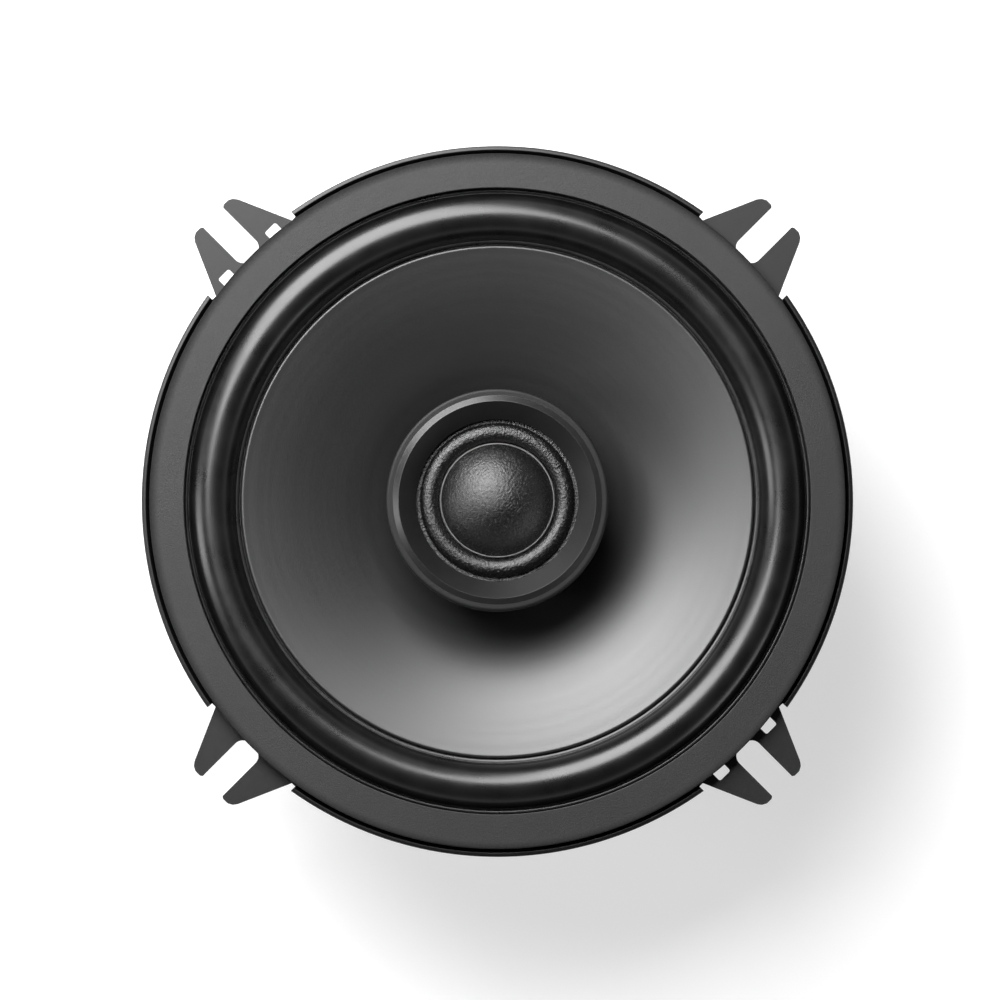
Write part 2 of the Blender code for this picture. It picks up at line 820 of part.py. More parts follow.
def make_terminal_board():
    length, width, thickness = BOARD_SIZE
    board = box(
        "terminal_board",
        (BOARD_X - length / 2, -width / 2, BOARD_Z),
        (BOARD_X + length / 2, width / 2, BOARD_Z + thickness),
        phenolic(),
    )
    board_top = BOARD_Z + thickness
    places = {
        "terminal_rivet_positive": (EYELET_X, BLADE_OFFSET),
        "terminal_rivet_negative": (EYELET_X, -BLADE_OFFSET),
        "crossover_tag_rivet": TAG_PLACE,
    }
    for name, place in places.items():
        hole = disc(
            f"{name}_hole", EYELET_SHANK + GAP, BOARD_Z - MM, board_top + MM, None, place,
            TINY_ROUND, CUTTERS,
        )
        combine(board, hole)
        metal = BLADE_THICKNESS if "terminal" in name else TAG_THICKNESS
        low, high = BOARD_Z - GAP, BLADE_Z + metal + GAP
        make_eyelet(name, place, low, high, EYELET_SHANK, EYELET_HEAD, zinc())
    fixing = disc(
        "board_rivet_hole", TAB_HOLE_RADIUS, BOARD_Z - MM, board_top + MM, None,
        (TAB_RIVET_X, 0.0), TINY_ROUND, CUTTERS,
    )
    combine(board, fixing)
    make_eyelet(
        "board_rivet",
        (TAB_RIVET_X, 0.0),
        LEDGE_Z - SHEET / 2 - GAP,
        board_top + GAP,
        BOARD_RIVET_SHANK,
        BOARD_RIVET_HEAD,
        zinc(),
    )


def make_blades():
    """Push-on blades that stand out past the board, the wide one positive."""
    inner, tip = BLADE_ENDS
    taper = BLADE_TAPER
    for name, side in (("terminal_positive", 1), ("terminal_negative", -1)):
        half = BLADE_WIDTHS[name] / 2
        points = [
            (inner, -half + taper),
            (inner, half - taper),
            (inner - taper, half),
            (tip + taper, half),
            (tip, half - taper),
            (tip, -half + taper),
            (tip + taper, -half),
            (inner - taper, -half),
        ]
        middle = side * BLADE_OFFSET
        blade = outline(
            name, [(x, y + middle) for x, y in points], BLADE_Z, BLADE_Z + BLADE_THICKNESS, brass()
        )
        for kind, x, radius in (
            ("rivet", EYELET_X, METAL_HOLE_RADIUS),
            ("latch", LATCH_X, LATCH_RADIUS),
        ):
            hole = disc(
                f"{name}_{kind}_hole", radius, BLADE_Z - CUT_OVER, BLADE_Z + CUT_OVER, None,
                (x, middle), TINY_ROUND, CUTTERS,
            )
            combine(blade, hole)


def make_crossover_tag():
    x, y = TAG_PLACE
    half = TAG_HALF_WIDTH
    tag = box(
        "crossover_tag",
        (x - half, y - half, BLADE_Z),
        (x + half, y + half, BLADE_Z + TAG_THICKNESS),
        brass(),
    )
    hole = disc(
        "tag_hole", METAL_HOLE_RADIUS, BLADE_Z - CUT_OVER, BLADE_Z + CUT_OVER, None, TAG_PLACE,
        TINY_ROUND, CUTTERS,
    )
    combine(tag, hole)


def make_capacitor():
    """The tweeter's series capacitor, lying along Y, with a lead from each end."""
    half = CAPACITOR_LENGTH / 2
    middle = BLADE_Z + CAPACITOR_RADIUS + 0.1 * MM
    nick = 0.35 * MM
    profile = [
        (0.0, half),
        (CAPACITOR_RADIUS - nick, half),
        (CAPACITOR_RADIUS, half - nick),
        (CAPACITOR_RADIUS, nick * 4 - half),
        (CAPACITOR_RADIUS - nick, nick * 3 - half),
        (CAPACITOR_RADIUS, nick * 2 - half),
        (CAPACITOR_RADIUS - nick, -half),
        (0.0, -half),
    ]
    can = turned("crossover_capacitor", profile, sleeve(), 16, closed=False)
    can.matrix_world = Matrix.Translation((CAPACITOR_X, 0.0, middle)) @ Matrix.Rotation(
        -math.pi / 2, 4, "X"
    )
    lead = 0.35 * MM
    blade_top = BLADE_Z + BLADE_THICKNESS + GAP + lead
    rivet_top = BLADE_Z + MM + 2 * GAP + 2 * lead
    routes = {
        "capacitor_lead_in": [
            (CAPACITOR_X, half - MM, middle),
            (CAPACITOR_X, half + 1.0 * MM, middle),
            (CAPACITOR_X, half + 2.6 * MM, middle - 0.9 * MM),
            (CAPACITOR_X, 9.6 * MM, blade_top),
        ],
        "capacitor_lead_out": [
            (CAPACITOR_X, MM - half, middle),
            (CAPACITOR_X, -half - 0.9 * MM, middle),
            (CAPACITOR_X + 0.6 * MM, -half - 1.7 * MM, middle - 0.9 * MM),
            (-41.9 * MM, -7.0 * MM, rivet_top),
        ],
    }
    for name, stops in routes.items():
        curve = wire(name, stops, lead, None, 1.2 * MM)
        combine(can, meshed(curve), "UNION")


# ---------------------------------------------------------------- tweeter's mounting

def make_tweeter_bolt():
    """A hollow bolt from the housing's floor through the pole, and what clamps it."""
    floor_top = HOUSING_BOTTOM_Z + HOUSING_WALL
    head_low = floor_top + GAP
    head_high = head_low + BOLT_HEAD_THICKNESS
    profile = [
        (BOLT_BORE, head_high),
        (BOLT_HEAD_RADIUS, head_high),
        (BOLT_HEAD_RADIUS, head_low),
        (BOLT_RADIUS, head_low),
        (BOLT_RADIUS, BOLT_END_Z),
        (BOLT_BORE, BOLT_END_Z),
    ]
    turned("tweeter_bolt", profile, zinc(), SMALL_ROUND)
    ring(
        "tweeter_spacer",
        BOLT_RADIUS + GAP,
        SPACER_RADIUS,
        POLE_TOP_Z + GAP,
        HOUSING_BOTTOM_Z - GAP,
        black_plastic(),
        SMALL_ROUND,
    )
    washer_high = RECESS_DEPTH - GAP
    washer_low = washer_high - WASHER_THICKNESS
    ring(
        "rear_washer",
        BOLT_RADIUS + GAP,
        WASHER_RADIUS,
        washer_low,
        washer_high,
        zinc(),
        SMALL_ROUND,
    )
    nut_high = washer_low - GAP
    nut = disc("rear_nut", NUT_RADIUS, nut_high - NUT_THICKNESS, nut_high, zinc(), sides=6)
    thread = disc(
        "nut_thread", BOLT_RADIUS + 0.05 * MM, 0.0, 2 * RECESS_DEPTH, None, collection=CUTTERS
    )
    combine(nut, thread)


def make_tweeter_wires():
    """From the tweeter's lugs down the hollow bolt, along the groove and up the magnet's side."""
    bend_z = 44.9 * MM
    groove_z = 1.3 * MM
    eyelet_low = BOARD_Z - GAP - 0.5 * MM - GAP - WIRE_RADIUS
    side_x = -(MAGNET_RADIUS + GAP + WIRE_RADIUS + 0.4 * MM)
    routes = {
        "tweeter_wire_negative": (
            -1,
            [
                (side_x - 1.1 * MM, -3.6 * MM, 22.4 * MM),
                (-40.3 * MM, -9.2 * MM, 26.8 * MM),
                (EYELET_X, -BLADE_OFFSET, eyelet_low),
            ],
        ),
        "tweeter_wire_positive": (
            1,
            [
                (side_x - 0.9 * MM, -1.0 * MM, 23.2 * MM),
                (-39.6 * MM, -4.6 * MM, 27.0 * MM),
                (*TAG_PLACE, eyelet_low),
            ],
        ),
    }
    for name, (side, last) in routes.items():
        beside = side * 0.85 * MM
        stops = [
            (-15.0 * MM, side * 3.7 * MM, bend_z),
            (-10.0 * MM, side * 2.2 * MM, bend_z),
            (-3.6 * MM, side * 1.1 * MM, bend_z),
            (-1.2 * MM, beside, bend_z - 1.6 * MM),
            (-1.0 * MM, beside, 38.0 * MM),
            (-1.0 * MM, beside, 20.0 * MM),
            (-1.0 * MM, beside, 5.0 * MM),
            (-2.2 * MM, beside, 2.0 * MM),
            (-5.0 * MM, beside, groove_z),
            (-20.0 * MM, beside, groove_z),
            (-33.0 * MM, beside, groove_z),
            (side_x + 0.4 * MM, beside, 2.1 * MM),
            (side_x, beside, 5.5 * MM),
            (side_x, beside, 17.0 * MM),
            *last,
        ]
        surface = wire_red() if side > 0 else wire_black()
        wire(name, stops, WIRE_RADIUS, surface, 3.4 * MM)


# ---------------------------------------------------------------- tweeter

def make_tweeter_housing():
    """An open cup under the bezel, with a hole in its floor for the bolt."""
    wall = HOUSING_WALL
    top = BEZEL_BOTTOM_Z - GAP
    outer = BEZEL_RADIUS - 0.3 * MM
    profile = [
        (outer - wall, top),
        (outer, top),
        (outer, HOUSING_SKIRT_Z),
        (outer - 0.7 * MM, HOUSING_SKIRT_Z - MM),
        *HOUSING_TAPER,
        (BOLT_RADIUS + GAP, HOUSING_BOTTOM_Z),
        (BOLT_RADIUS + GAP, HOUSING_BOTTOM_Z + wall),
        (HOUSING_TAPER[-1][0] - 0.4 * MM, HOUSING_BOTTOM_Z + wall),
        (outer - 0.7 * MM - wall, HOUSING_SKIRT_Z - 0.6 * MM),
        (outer - wall, HOUSING_SKIRT_Z + 0.2 * MM),
    ]
    turned("tweeter_housing", profile, black_plastic(), SMALL_ROUND)


def make_tweeter_bezel():
    """The ring that holds the tweeter's cloth: a dish rising to a crest, a short bevel down from
    it, and a flat outer band."""
    seat = DOME_BASE_Z + DOME_SHEET / 2 + GAP
    profile = [
        (DISH_INNER, DISH_INNER_Z),
        (CREST_RADIUS, CROWN_Z),
        (BAND_RADIUS, BAND_Z),
        (BEZEL_RADIUS - BEZEL_CHAMFER, BAND_Z),
        (BEZEL_RADIUS, BAND_Z - BEZEL_CHAMFER),
        (BEZEL_RADIUS, BEZEL_BOTTOM_Z),
        (BEZEL_RADIUS - BEZEL_WALL, BEZEL_BOTTOM_Z),
        (BEZEL_RADIUS - BEZEL_WALL, BEZEL_UNDER_Z),
        (CLOTH_SEAT_RADIUS, BEZEL_UNDER_Z),
        (CLOTH_SEAT_RADIUS, seat),
        (DISH_INNER, seat),
    ]
    turned("tweeter_bezel", profile, black_plastic(), SMALL_ROUND)


def make_tweeter_motor():
    base_top = POT_BOTTOM_Z + POT_BASE
    profile = [
        (POT_INNER, POT_TOP_Z),
        (POT_RADIUS, POT_TOP_Z),
        (POT_RADIUS, POT_BOTTOM_Z + POT_CHAMFER),
        (POT_RADIUS - POT_CHAMFER, POT_BOTTOM_Z),
        (0.0, POT_BOTTOM_Z),
    ]
    inside = [(0.0, base_top), (POT_INNER, base_top)]
    turned("tweeter_pot", [*inside, *profile], zinc(), SMALL_ROUND, closed=False)
    magnet_low = base_top + GAP
    magnet_high = magnet_low + TWEETER_MAGNET_THICKNESS
    disc("tweeter_magnet", TWEETER_MAGNET_RADIUS, magnet_low, magnet_high, neodymium())
    disc("tweeter_pole_plate", POLE_PLATE_RADIUS, magnet_high + GAP, POT_TOP_Z, zinc())
    disc("tweeter_felt_pad", FELT_RADIUS, POT_TOP_Z + GAP, POT_TOP_Z + GAP + MM, felt())


def make_tweeter_coil():
    outer = TWEETER_FORMER_RADIUS + TWEETER_FORMER_WALL
    top = DOME_BASE_Z - DOME_SHEET / 2 - 0.1 * MM
    ring(
        "tweeter_coil_former",
        TWEETER_FORMER_RADIUS,
        outer,
        TWEETER_FORMER_BOTTOM_Z,
        top,
        kapton(),
        SMALL_ROUND,
    )
    inner = outer + 0.02 * MM
    ring(
        "tweeter_coil_winding",
        inner,
        inner + TWEETER_WINDING_WALL,
        *TWEETER_WINDING_Z,
        copper(),
        SMALL_ROUND,
    )


def make_tweeter_diaphragm():
    radius = (DOME_RADIUS**2 + DOME_HEIGHT**2) / (2 * DOME_HEIGHT)
    swing = math.degrees(math.asin(DOME_RADIUS / radius))
    centre = (0.0, DOME_BASE_Z + DOME_HEIGHT - radius)
    dome = arc(centre, radius, 90, 90 - swing, 6)
    dome[0] = (0.0, DOME_BASE_Z + DOME_HEIGHT)
    line = [(DOME_RADIUS + 0.25 * MM, DOME_BASE_Z), *reversed(dome[:-1])]
    half = DOME_SHEET / 2
    outside = [(r * (1 + half / radius), z + half) for r, z in line]
    inside = [(r * (1 - half / radius), z - half) for r, z in line]
    turned(
        "tweeter_dome",
        [*reversed(outside), *inside],
        dome_cloth(),
        SMALL_ROUND,
        closed=False,
    )
    roll = half_roll(
        TWEETER_ROLL_INNER + 0.2 * MM, TWEETER_ROLL_OUTER, DOME_BASE_Z, TWEETER_ROLL_HEIGHT, 6
    )
    edge = [*roll, (TWEETER_CLOTH_RADIUS, DOME_BASE_Z)]
    turned(
        "tweeter_surround",
        edge[::-1],
        dome_cloth(),
        SMALL_ROUND,
        closed=False,
        wall=DOME_SHEET,
    )


def make_tweeter_lugs():
    for name, side in (("tweeter_lug_positive", 1), ("tweeter_lug_negative", -1)):
        y = side * LUG_OFFSET
        box(
            name,
            (LUG_X[0], y - LUG_HALF_WIDTH, LUG_Z[0]),
            (LUG_X[1], y + LUG_HALF_WIDTH, LUG_Z[1]),
            brass(),
        )


def main():
    clear_scene()
    make_yoke()
    make_magnet()
    make_top_plate()
    make_frame()
    make_frame_rivets()
    make_cone()
    make_surround()
    make_gasket()
    make_voice_coil()
    make_spider()
    make_tinsel_leads()
    make_terminal_board()
    make_blades()
    make_crossover_tag()
    make_capacitor()
    make_tweeter_bolt()
    make_tweeter_wires()
    make_tweeter_housing()
    make_tweeter_bezel()
    make_tweeter_motor()
    make_tweeter_coil()
    make_tweeter_diaphragm()
    make_tweeter_lugs()


main()
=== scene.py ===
import json
import math

import bmesh
import bpy
import numpy as np
from mathutils import Matrix, Vector

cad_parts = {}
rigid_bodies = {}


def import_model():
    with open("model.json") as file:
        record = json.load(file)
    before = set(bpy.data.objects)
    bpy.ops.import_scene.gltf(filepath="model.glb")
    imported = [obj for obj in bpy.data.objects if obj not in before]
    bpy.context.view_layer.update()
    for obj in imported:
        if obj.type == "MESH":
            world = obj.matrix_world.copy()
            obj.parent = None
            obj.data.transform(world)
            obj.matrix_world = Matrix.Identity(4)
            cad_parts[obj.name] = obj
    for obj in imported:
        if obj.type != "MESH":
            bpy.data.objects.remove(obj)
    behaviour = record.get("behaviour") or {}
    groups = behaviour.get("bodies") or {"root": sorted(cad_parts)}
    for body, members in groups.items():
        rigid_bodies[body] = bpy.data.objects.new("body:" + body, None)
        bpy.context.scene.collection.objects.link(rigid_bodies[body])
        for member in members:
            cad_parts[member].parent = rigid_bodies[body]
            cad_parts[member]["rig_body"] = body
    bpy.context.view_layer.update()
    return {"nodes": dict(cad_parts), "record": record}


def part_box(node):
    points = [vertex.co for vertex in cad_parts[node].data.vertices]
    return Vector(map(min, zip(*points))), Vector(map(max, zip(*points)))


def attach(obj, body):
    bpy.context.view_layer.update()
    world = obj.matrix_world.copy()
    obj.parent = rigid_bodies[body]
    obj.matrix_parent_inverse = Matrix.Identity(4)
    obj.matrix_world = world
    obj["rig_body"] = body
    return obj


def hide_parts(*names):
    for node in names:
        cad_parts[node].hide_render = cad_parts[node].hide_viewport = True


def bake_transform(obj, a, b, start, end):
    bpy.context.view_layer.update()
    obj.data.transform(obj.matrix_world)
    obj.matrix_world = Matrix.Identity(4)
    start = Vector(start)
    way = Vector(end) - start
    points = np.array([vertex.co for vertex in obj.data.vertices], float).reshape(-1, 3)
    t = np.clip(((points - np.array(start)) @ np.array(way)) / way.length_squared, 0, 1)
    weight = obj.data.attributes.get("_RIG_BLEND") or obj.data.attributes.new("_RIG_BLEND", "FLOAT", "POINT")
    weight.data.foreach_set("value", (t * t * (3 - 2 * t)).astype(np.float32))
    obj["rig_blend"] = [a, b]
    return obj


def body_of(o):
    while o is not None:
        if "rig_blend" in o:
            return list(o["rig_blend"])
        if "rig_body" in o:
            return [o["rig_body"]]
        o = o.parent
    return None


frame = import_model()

MM = 0.001
LARGE = 256  # sides of a large turned piece
MEDIUM = 128
SMALL = 48
SHARP = math.radians(32)
MERGE = 0.002 * MM
GUARD = 0.15 * MM
PAIRS = [math.radians(90 * k) for k in range(4)]  # where the ear pairs are
LEGS = [math.radians(45 + 90 * k) for k in range(4)]


# ---------------------------------------------------------------- levels and radii, from the frame

def reach(node):
    """Outer radius, lowest and highest level of a node turned about the speaker's axis."""
    low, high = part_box(node)
    return high.y, low.z, high.z


FRAME_TIP, FRAME_LOW, LIP_TOP = reach("basket_frame")
GASKET_OUTER, GASKET_LOW, GASKET_TOP = reach("front_gasket")
SEAT_OUTER, SURROUND_LOW, SURROUND_TOP = reach("surround")
CONE_OUTER, CONE_LOW, CONE_HIGH = reach("cone")
FORMER_OUTER, FORMER_LOW, FORMER_TOP = reach("voice_coil_former")
COIL_OUTER, COIL_LOW, COIL_HIGH = reach("voice_coil_winding")
SPIDER_OUTER, SPIDER_LOW, SPIDER_HIGH = reach("spider")
YOKE_OUTER, YOKE_LOW, POLE_TOP = reach("yoke")
MAGNET_OUTER, MAGNET_LOW, MAGNET_TOP = reach("magnet_ring")
PLATE_OUTER, PLATE_LOW, PLATE_TOP = reach("top_plate")
HOUSING_OUTER, HOUSING_LOW, HOUSING_TOP = reach("tweeter_housing")
BEZEL_OUTER, BEZEL_LOW, CROWN = reach("tweeter_bezel")
DOME_EDGE, DOME_LOW, DOME_TOP = reach("tweeter_dome")
BOARD_LOW, BOARD_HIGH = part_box("terminal_board")
BLADE_LOW, BLADE_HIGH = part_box("terminal_positive")

SHEET = 0.9 * MM  # the frame's steel
LIP_CORNER = 0.2 * MM
FLANGE = 47.45 * MM  # middle of the flange's sheet
FLOOR = FRAME_LOW + SHEET / 2
LEDGE = 30.45 * MM
GAP = 0.3 * MM
CONE_SHOULDER = 48.15 * MM  # here the cone's wall steps down, to take the surround's lip
RIM_STEP = 0.9 * MM
BLADE_OFFSET = 11.5 * MM
RIVET_X = -42.2 * MM
TAG_PLACE = (-40.4 * MM, -6.9 * MM)


# ---------------------------------------------------------------- outlines

def arc(centre, radius, start, end, steps):
    """Points on an arc between two angles in degrees."""
    angles = [math.radians(start + (end - start) * k / steps) for k in range(steps + 1)]
    return [(centre[0] + radius * math.cos(a), centre[1] + radius * math.sin(a)) for a in angles]


def rounded(points, radius, closed=True, steps=5):
    """The same line with its corners rounded. A point may carry its own radius as a third value."""
    count = len(points)
    line = []
    for k, point in enumerate(points):
        here = Vector(point[:2])
        size = point[2] if len(point) > 2 else radius
        if size == 0 or (not closed and k in (0, count - 1)):
            line.append(tuple(here))
            continue
        back = Vector(points[k - 1][:2]) - here
        on = Vector(points[(k + 1) % count][:2]) - here
        bend = back.angle(on)
        if bend > math.radians(178):
            line.append(tuple(here))
            continue
        cut = min(size / math.tan(bend / 2), 0.45 * back.length, 0.45 * on.length)
        start, end = here + back.normalized() * cut, here + on.normalized() * cut
        for j in range(steps + 1):
            t = j / steps
            line.append(tuple((1 - t) ** 2 * start + 2 * t * (1 - t) * here + t * t * end))
    return line


def sheet(line, wall, corner=None):
    """The closed section of a sheet whose middle runs along a line. Its ends are round, or flat with
    rounded corners, and stand out past the line by the corner's radius."""
    flat = corner is not None
    corner = corner if flat else wall / 2
    points = np.array(line)
    ways = np.diff(points, axis=0)
    ways /= np.linalg.norm(ways, axis=1)[:, None]
    before = np.vstack([ways[:1], ways])
    after = np.vstack([ways, ways[-1:]])
    along = before + after
    along /= np.linalg.norm(along, axis=1)[:, None]
    normal = np.stack([-along[:, 1], along[:, 0]], axis=1)
    mitre = 1 / np.maximum(0.5, (along * after).sum(axis=1))
    offset = normal * mitre[:, None] * wall / 2
    turns = [math.radians(t) for t in ((30, 60, 90) if flat else (45, 90))]

    def closed_end(end, side, way):
        shift = side * (wall / 2 - corner)
        near = [end + shift + corner * (side * math.cos(t) + way * math.sin(t)) for t in turns]
        far = [end - shift + corner * (way * math.sin(t) - side * math.cos(t)) for t in reversed(turns)]
        return near + far[0 if flat else 1:]

    section = [
        *(points + offset),
        *closed_end(points[-1], normal[-1], ways[-1]),
        *(points - offset)[::-1],
        *closed_end(points[0], -normal[0], -ways[0]),
    ]
    return [tuple(p) for p in section]


# ---------------------------------------------------------------- meshes

def mesh_object(name, verts, faces):
    mesh = bpy.data.meshes.new(name)
    mesh.from_pydata([tuple(v) for v in verts], [], faces)
    shape = bmesh.new()
    shape.from_mesh(mesh)
    bmesh.ops.recalc_face_normals(shape, faces=shape.faces)
    shape.to_mesh(mesh)
    shape.free()
    obj = bpy.data.objects.new(name, mesh)
    bpy.context.scene.collection.objects.link(obj)
    return smooth(obj)


def smooth(obj, angle=SHARP):
    obj.data.shade_smooth()
    obj.data.set_sharp_from_angle(angle=angle)
    return obj


def guarded(section, closed):
    """The same section with a point close to both ends of every long straight, which keeps the
    shading of a rounded corner at the corner."""
    points = []
    for a, b in zip(section, [*section[1:], section[0]]):
        points.append(a)
        length = math.dist(a, b)
        if length > 4 * GUARD and (closed or b is not section[0]):
            for t in (GUARD / length, 1 - GUARD / length):
                points.append((a[0] + (b[0] - a[0]) * t, a[1] + (b[1] - a[1]) * t))
    return points


def lathe(name, section, sides=LARGE, shape=None):
    """A closed section turned about Z. A section that starts and ends on the axis needs no inner
    wall. shape may move the (x, y, z) points of all the rings before the faces are made."""
    on_axis = section[0][0] < MERGE and section[-1][0] < MERGE
    section = guarded(section, not on_axis)
    angles = np.arange(sides) * math.tau / sides
    circle = np.stack([np.cos(angles), np.sin(angles)], axis=1)
    verts, rings, count = [], [], 0
    for radius, height in section:
        if radius < MERGE:
            level = np.array([[0.0, 0.0, height]])
        else:
            level = np.hstack([circle * radius, np.full((sides, 1), height)])
        verts.append(level)
        rings.append(range(count, count + len(level)))
        count += len(level)
    faces = []
    for a, b in zip(rings, [*rings[1:], *([] if on_axis else rings[:1])]):
        for k in range(sides):
            j = (k + 1) % sides
            if len(a) == 1:
                faces.append((a[0], b[j], b[k]))
            elif len(b) == 1:
                faces.append((a[k], a[j], b[0]))
            else:
                faces.append((a[k], a[j], b[j], b[k]))
    points = np.vstack(verts)
    if shape is not None:
        points = shape(points)
    return mesh_object(name, points, faces)


def curve_plate(name, outlines, low, high, bevel=0.0):
    """A flat plate between two heights, bounded by the first outline and pierced by the others."""
    curve = bpy.data.curves.new(name, "CURVE")
    curve.dimensions = "2D"
    curve.fill_mode = "BOTH"
    curve.extrude = (high - low) / 2 - bevel
    curve.bevel_depth = bevel
    curve.bevel_resolution = 1
    curve.offset = -bevel
    for points in outlines:
        spline = curve.splines.new("POLY")
        spline.points.add(len(points) - 1)
        for target, (x, y) in zip(spline.points, points):
            target.co = (x, y, 0.0, 1.0)
        spline.use_cyclic_u = True
    obj = bpy.data.objects.new(name, curve)
    bpy.context.scene.collection.objects.link(obj)
    made = baked(obj)
    made.data.transform(Matrix.Translation((0, 0, (low + high) / 2)))
    return smooth(made)


def baked(obj):
    """The object with its curve or modifiers turned into a plain mesh."""
    bpy.context.view_layer.update()
    mesh = bpy.data.meshes.new_from_object(obj.evaluated_get(bpy.context.evaluated_depsgraph_get()))
    name, place = obj.name, obj.matrix_world.copy()
    bpy.data.objects.remove(obj, do_unlink=True)
    shape = bmesh.new()
    shape.from_mesh(mesh)
    bmesh.ops.remove_doubles(shape, verts=shape.verts, dist=MERGE)
    shape.to_mesh(mesh)
    shape.free()
    mesh.transform(place)
    made = bpy.data.objects.new(name, mesh)
    bpy.context.scene.collection.objects.link(made)
    return made


def joined(name, pieces):
    """One object from several meshes."""
    verts, faces = [], []
    for obj in pieces:
        start = len(verts)
        verts.extend(obj.matrix_world @ v.co for v in obj.data.vertices)
        faces.extend(tuple(start + k for k in p.vertices) for p in obj.data.polygons)
        bpy.data.objects.remove(obj, do_unlink=True)
    return mesh_object(name, verts, faces)


def combined(obj, tool, operation="DIFFERENCE"):
    """The object with a tool cut out of it or joined on."""
    boolean = obj.modifiers.new("combine", "BOOLEAN")
    boolean.operation = operation
    boolean.object = tool
    boolean.solver = "EXACT"
    made = baked(obj)
    bpy.data.objects.remove(tool, do_unlink=True)
    return smooth(made)


def block(low, high, bevel=0.0, segments=5):
    """A box between two corners."""
    size = [b - a for a, b in zip(low, high)]
    middle = [(a + b) / 2 for a, b in zip(low, high)]
    shape = bmesh.new()
    bmesh.ops.create_cube(shape, size=1.0, matrix=Matrix.Translation(middle) @ Matrix.Diagonal((*size, 1)))
    if bevel:
        bmesh.ops.bevel(
            shape, geom=shape.edges[:], offset=bevel, segments=segments, profile=0.5, affect="EDGES"
        )
    mesh = bpy.data.meshes.new("block")
    shape.to_mesh(mesh)
    shape.free()
    obj = bpy.data.objects.new("block", mesh)
    bpy.context.scene.collection.objects.link(obj)
    return obj


def turned_copies(obj, angles):
    """The same mesh at several angles about the speaker's axis, as one object."""
    copies = []
    for angle in angles:
        copy = bpy.data.objects.new(obj.name, obj.data)
        copy.matrix_world = Matrix.Rotation(angle, 4, "Z") @ obj.matrix_world
        bpy.context.scene.collection.objects.link(copy)
        copies.append(copy)
    bpy.data.objects.remove(obj, do_unlink=True)
    bpy.context.view_layer.update()
    return joined("tools", copies)


def smooth_route(stops, step):
    """Points spaced about step apart on a smooth curve through the stops."""
    stops = [Vector(s) for s in stops]
    ends = [2 * stops[0] - stops[1], *stops, 2 * stops[-1] - stops[-2]]
    route = [stops[0]]
    for k in range(1, len(ends) - 2):
        before, start, end, after = ends[k - 1 : k + 3]
        pieces = max(1, round((end - start).length / step))
        for j in range(1, pieces + 1):
            t = j / pieces
            route.append(
                0.5
                * (
                    2 * start
                    + (end - before) * t
                    + (2 * before - 5 * start + 4 * end - after) * t**2
                    + (3 * start - before - 3 * end + after) * t**3
                )
            )
    return route


def tube(name, route, radius, sides=12):
    """A round wire along a route, closed at both ends."""
    points = np.array([tuple(p) for p in route])
    along = np.gradient(points, axis=0)
    along /= np.linalg.norm(along, axis=1)[:, None]
    side = np.cross(along[0], (0.3, 0.2, 0.9))
    verts = []
    for point, way in zip(points, along):
        side = side - way * side.dot(way)
        side /= np.linalg.norm(side)
        other = np.cross(way, side)
        for k in range(sides):
            turn = math.tau * k / sides
            verts.append(point + radius * (side * math.cos(turn) + other * math.sin(turn)))
    faces = [tuple(range(sides))[::-1], tuple(range(len(verts) - sides, len(verts)))]
    for ring in range(len(points) - 1):
        for k in range(sides):
            j = (k + 1) % sides
            a, b = ring * sides, (ring + 1) * sides
            faces.append((a + k, a + j, b + j, b + k))
    return mesh_object(name, verts, faces)


# ---------------------------------------------------------------- materials

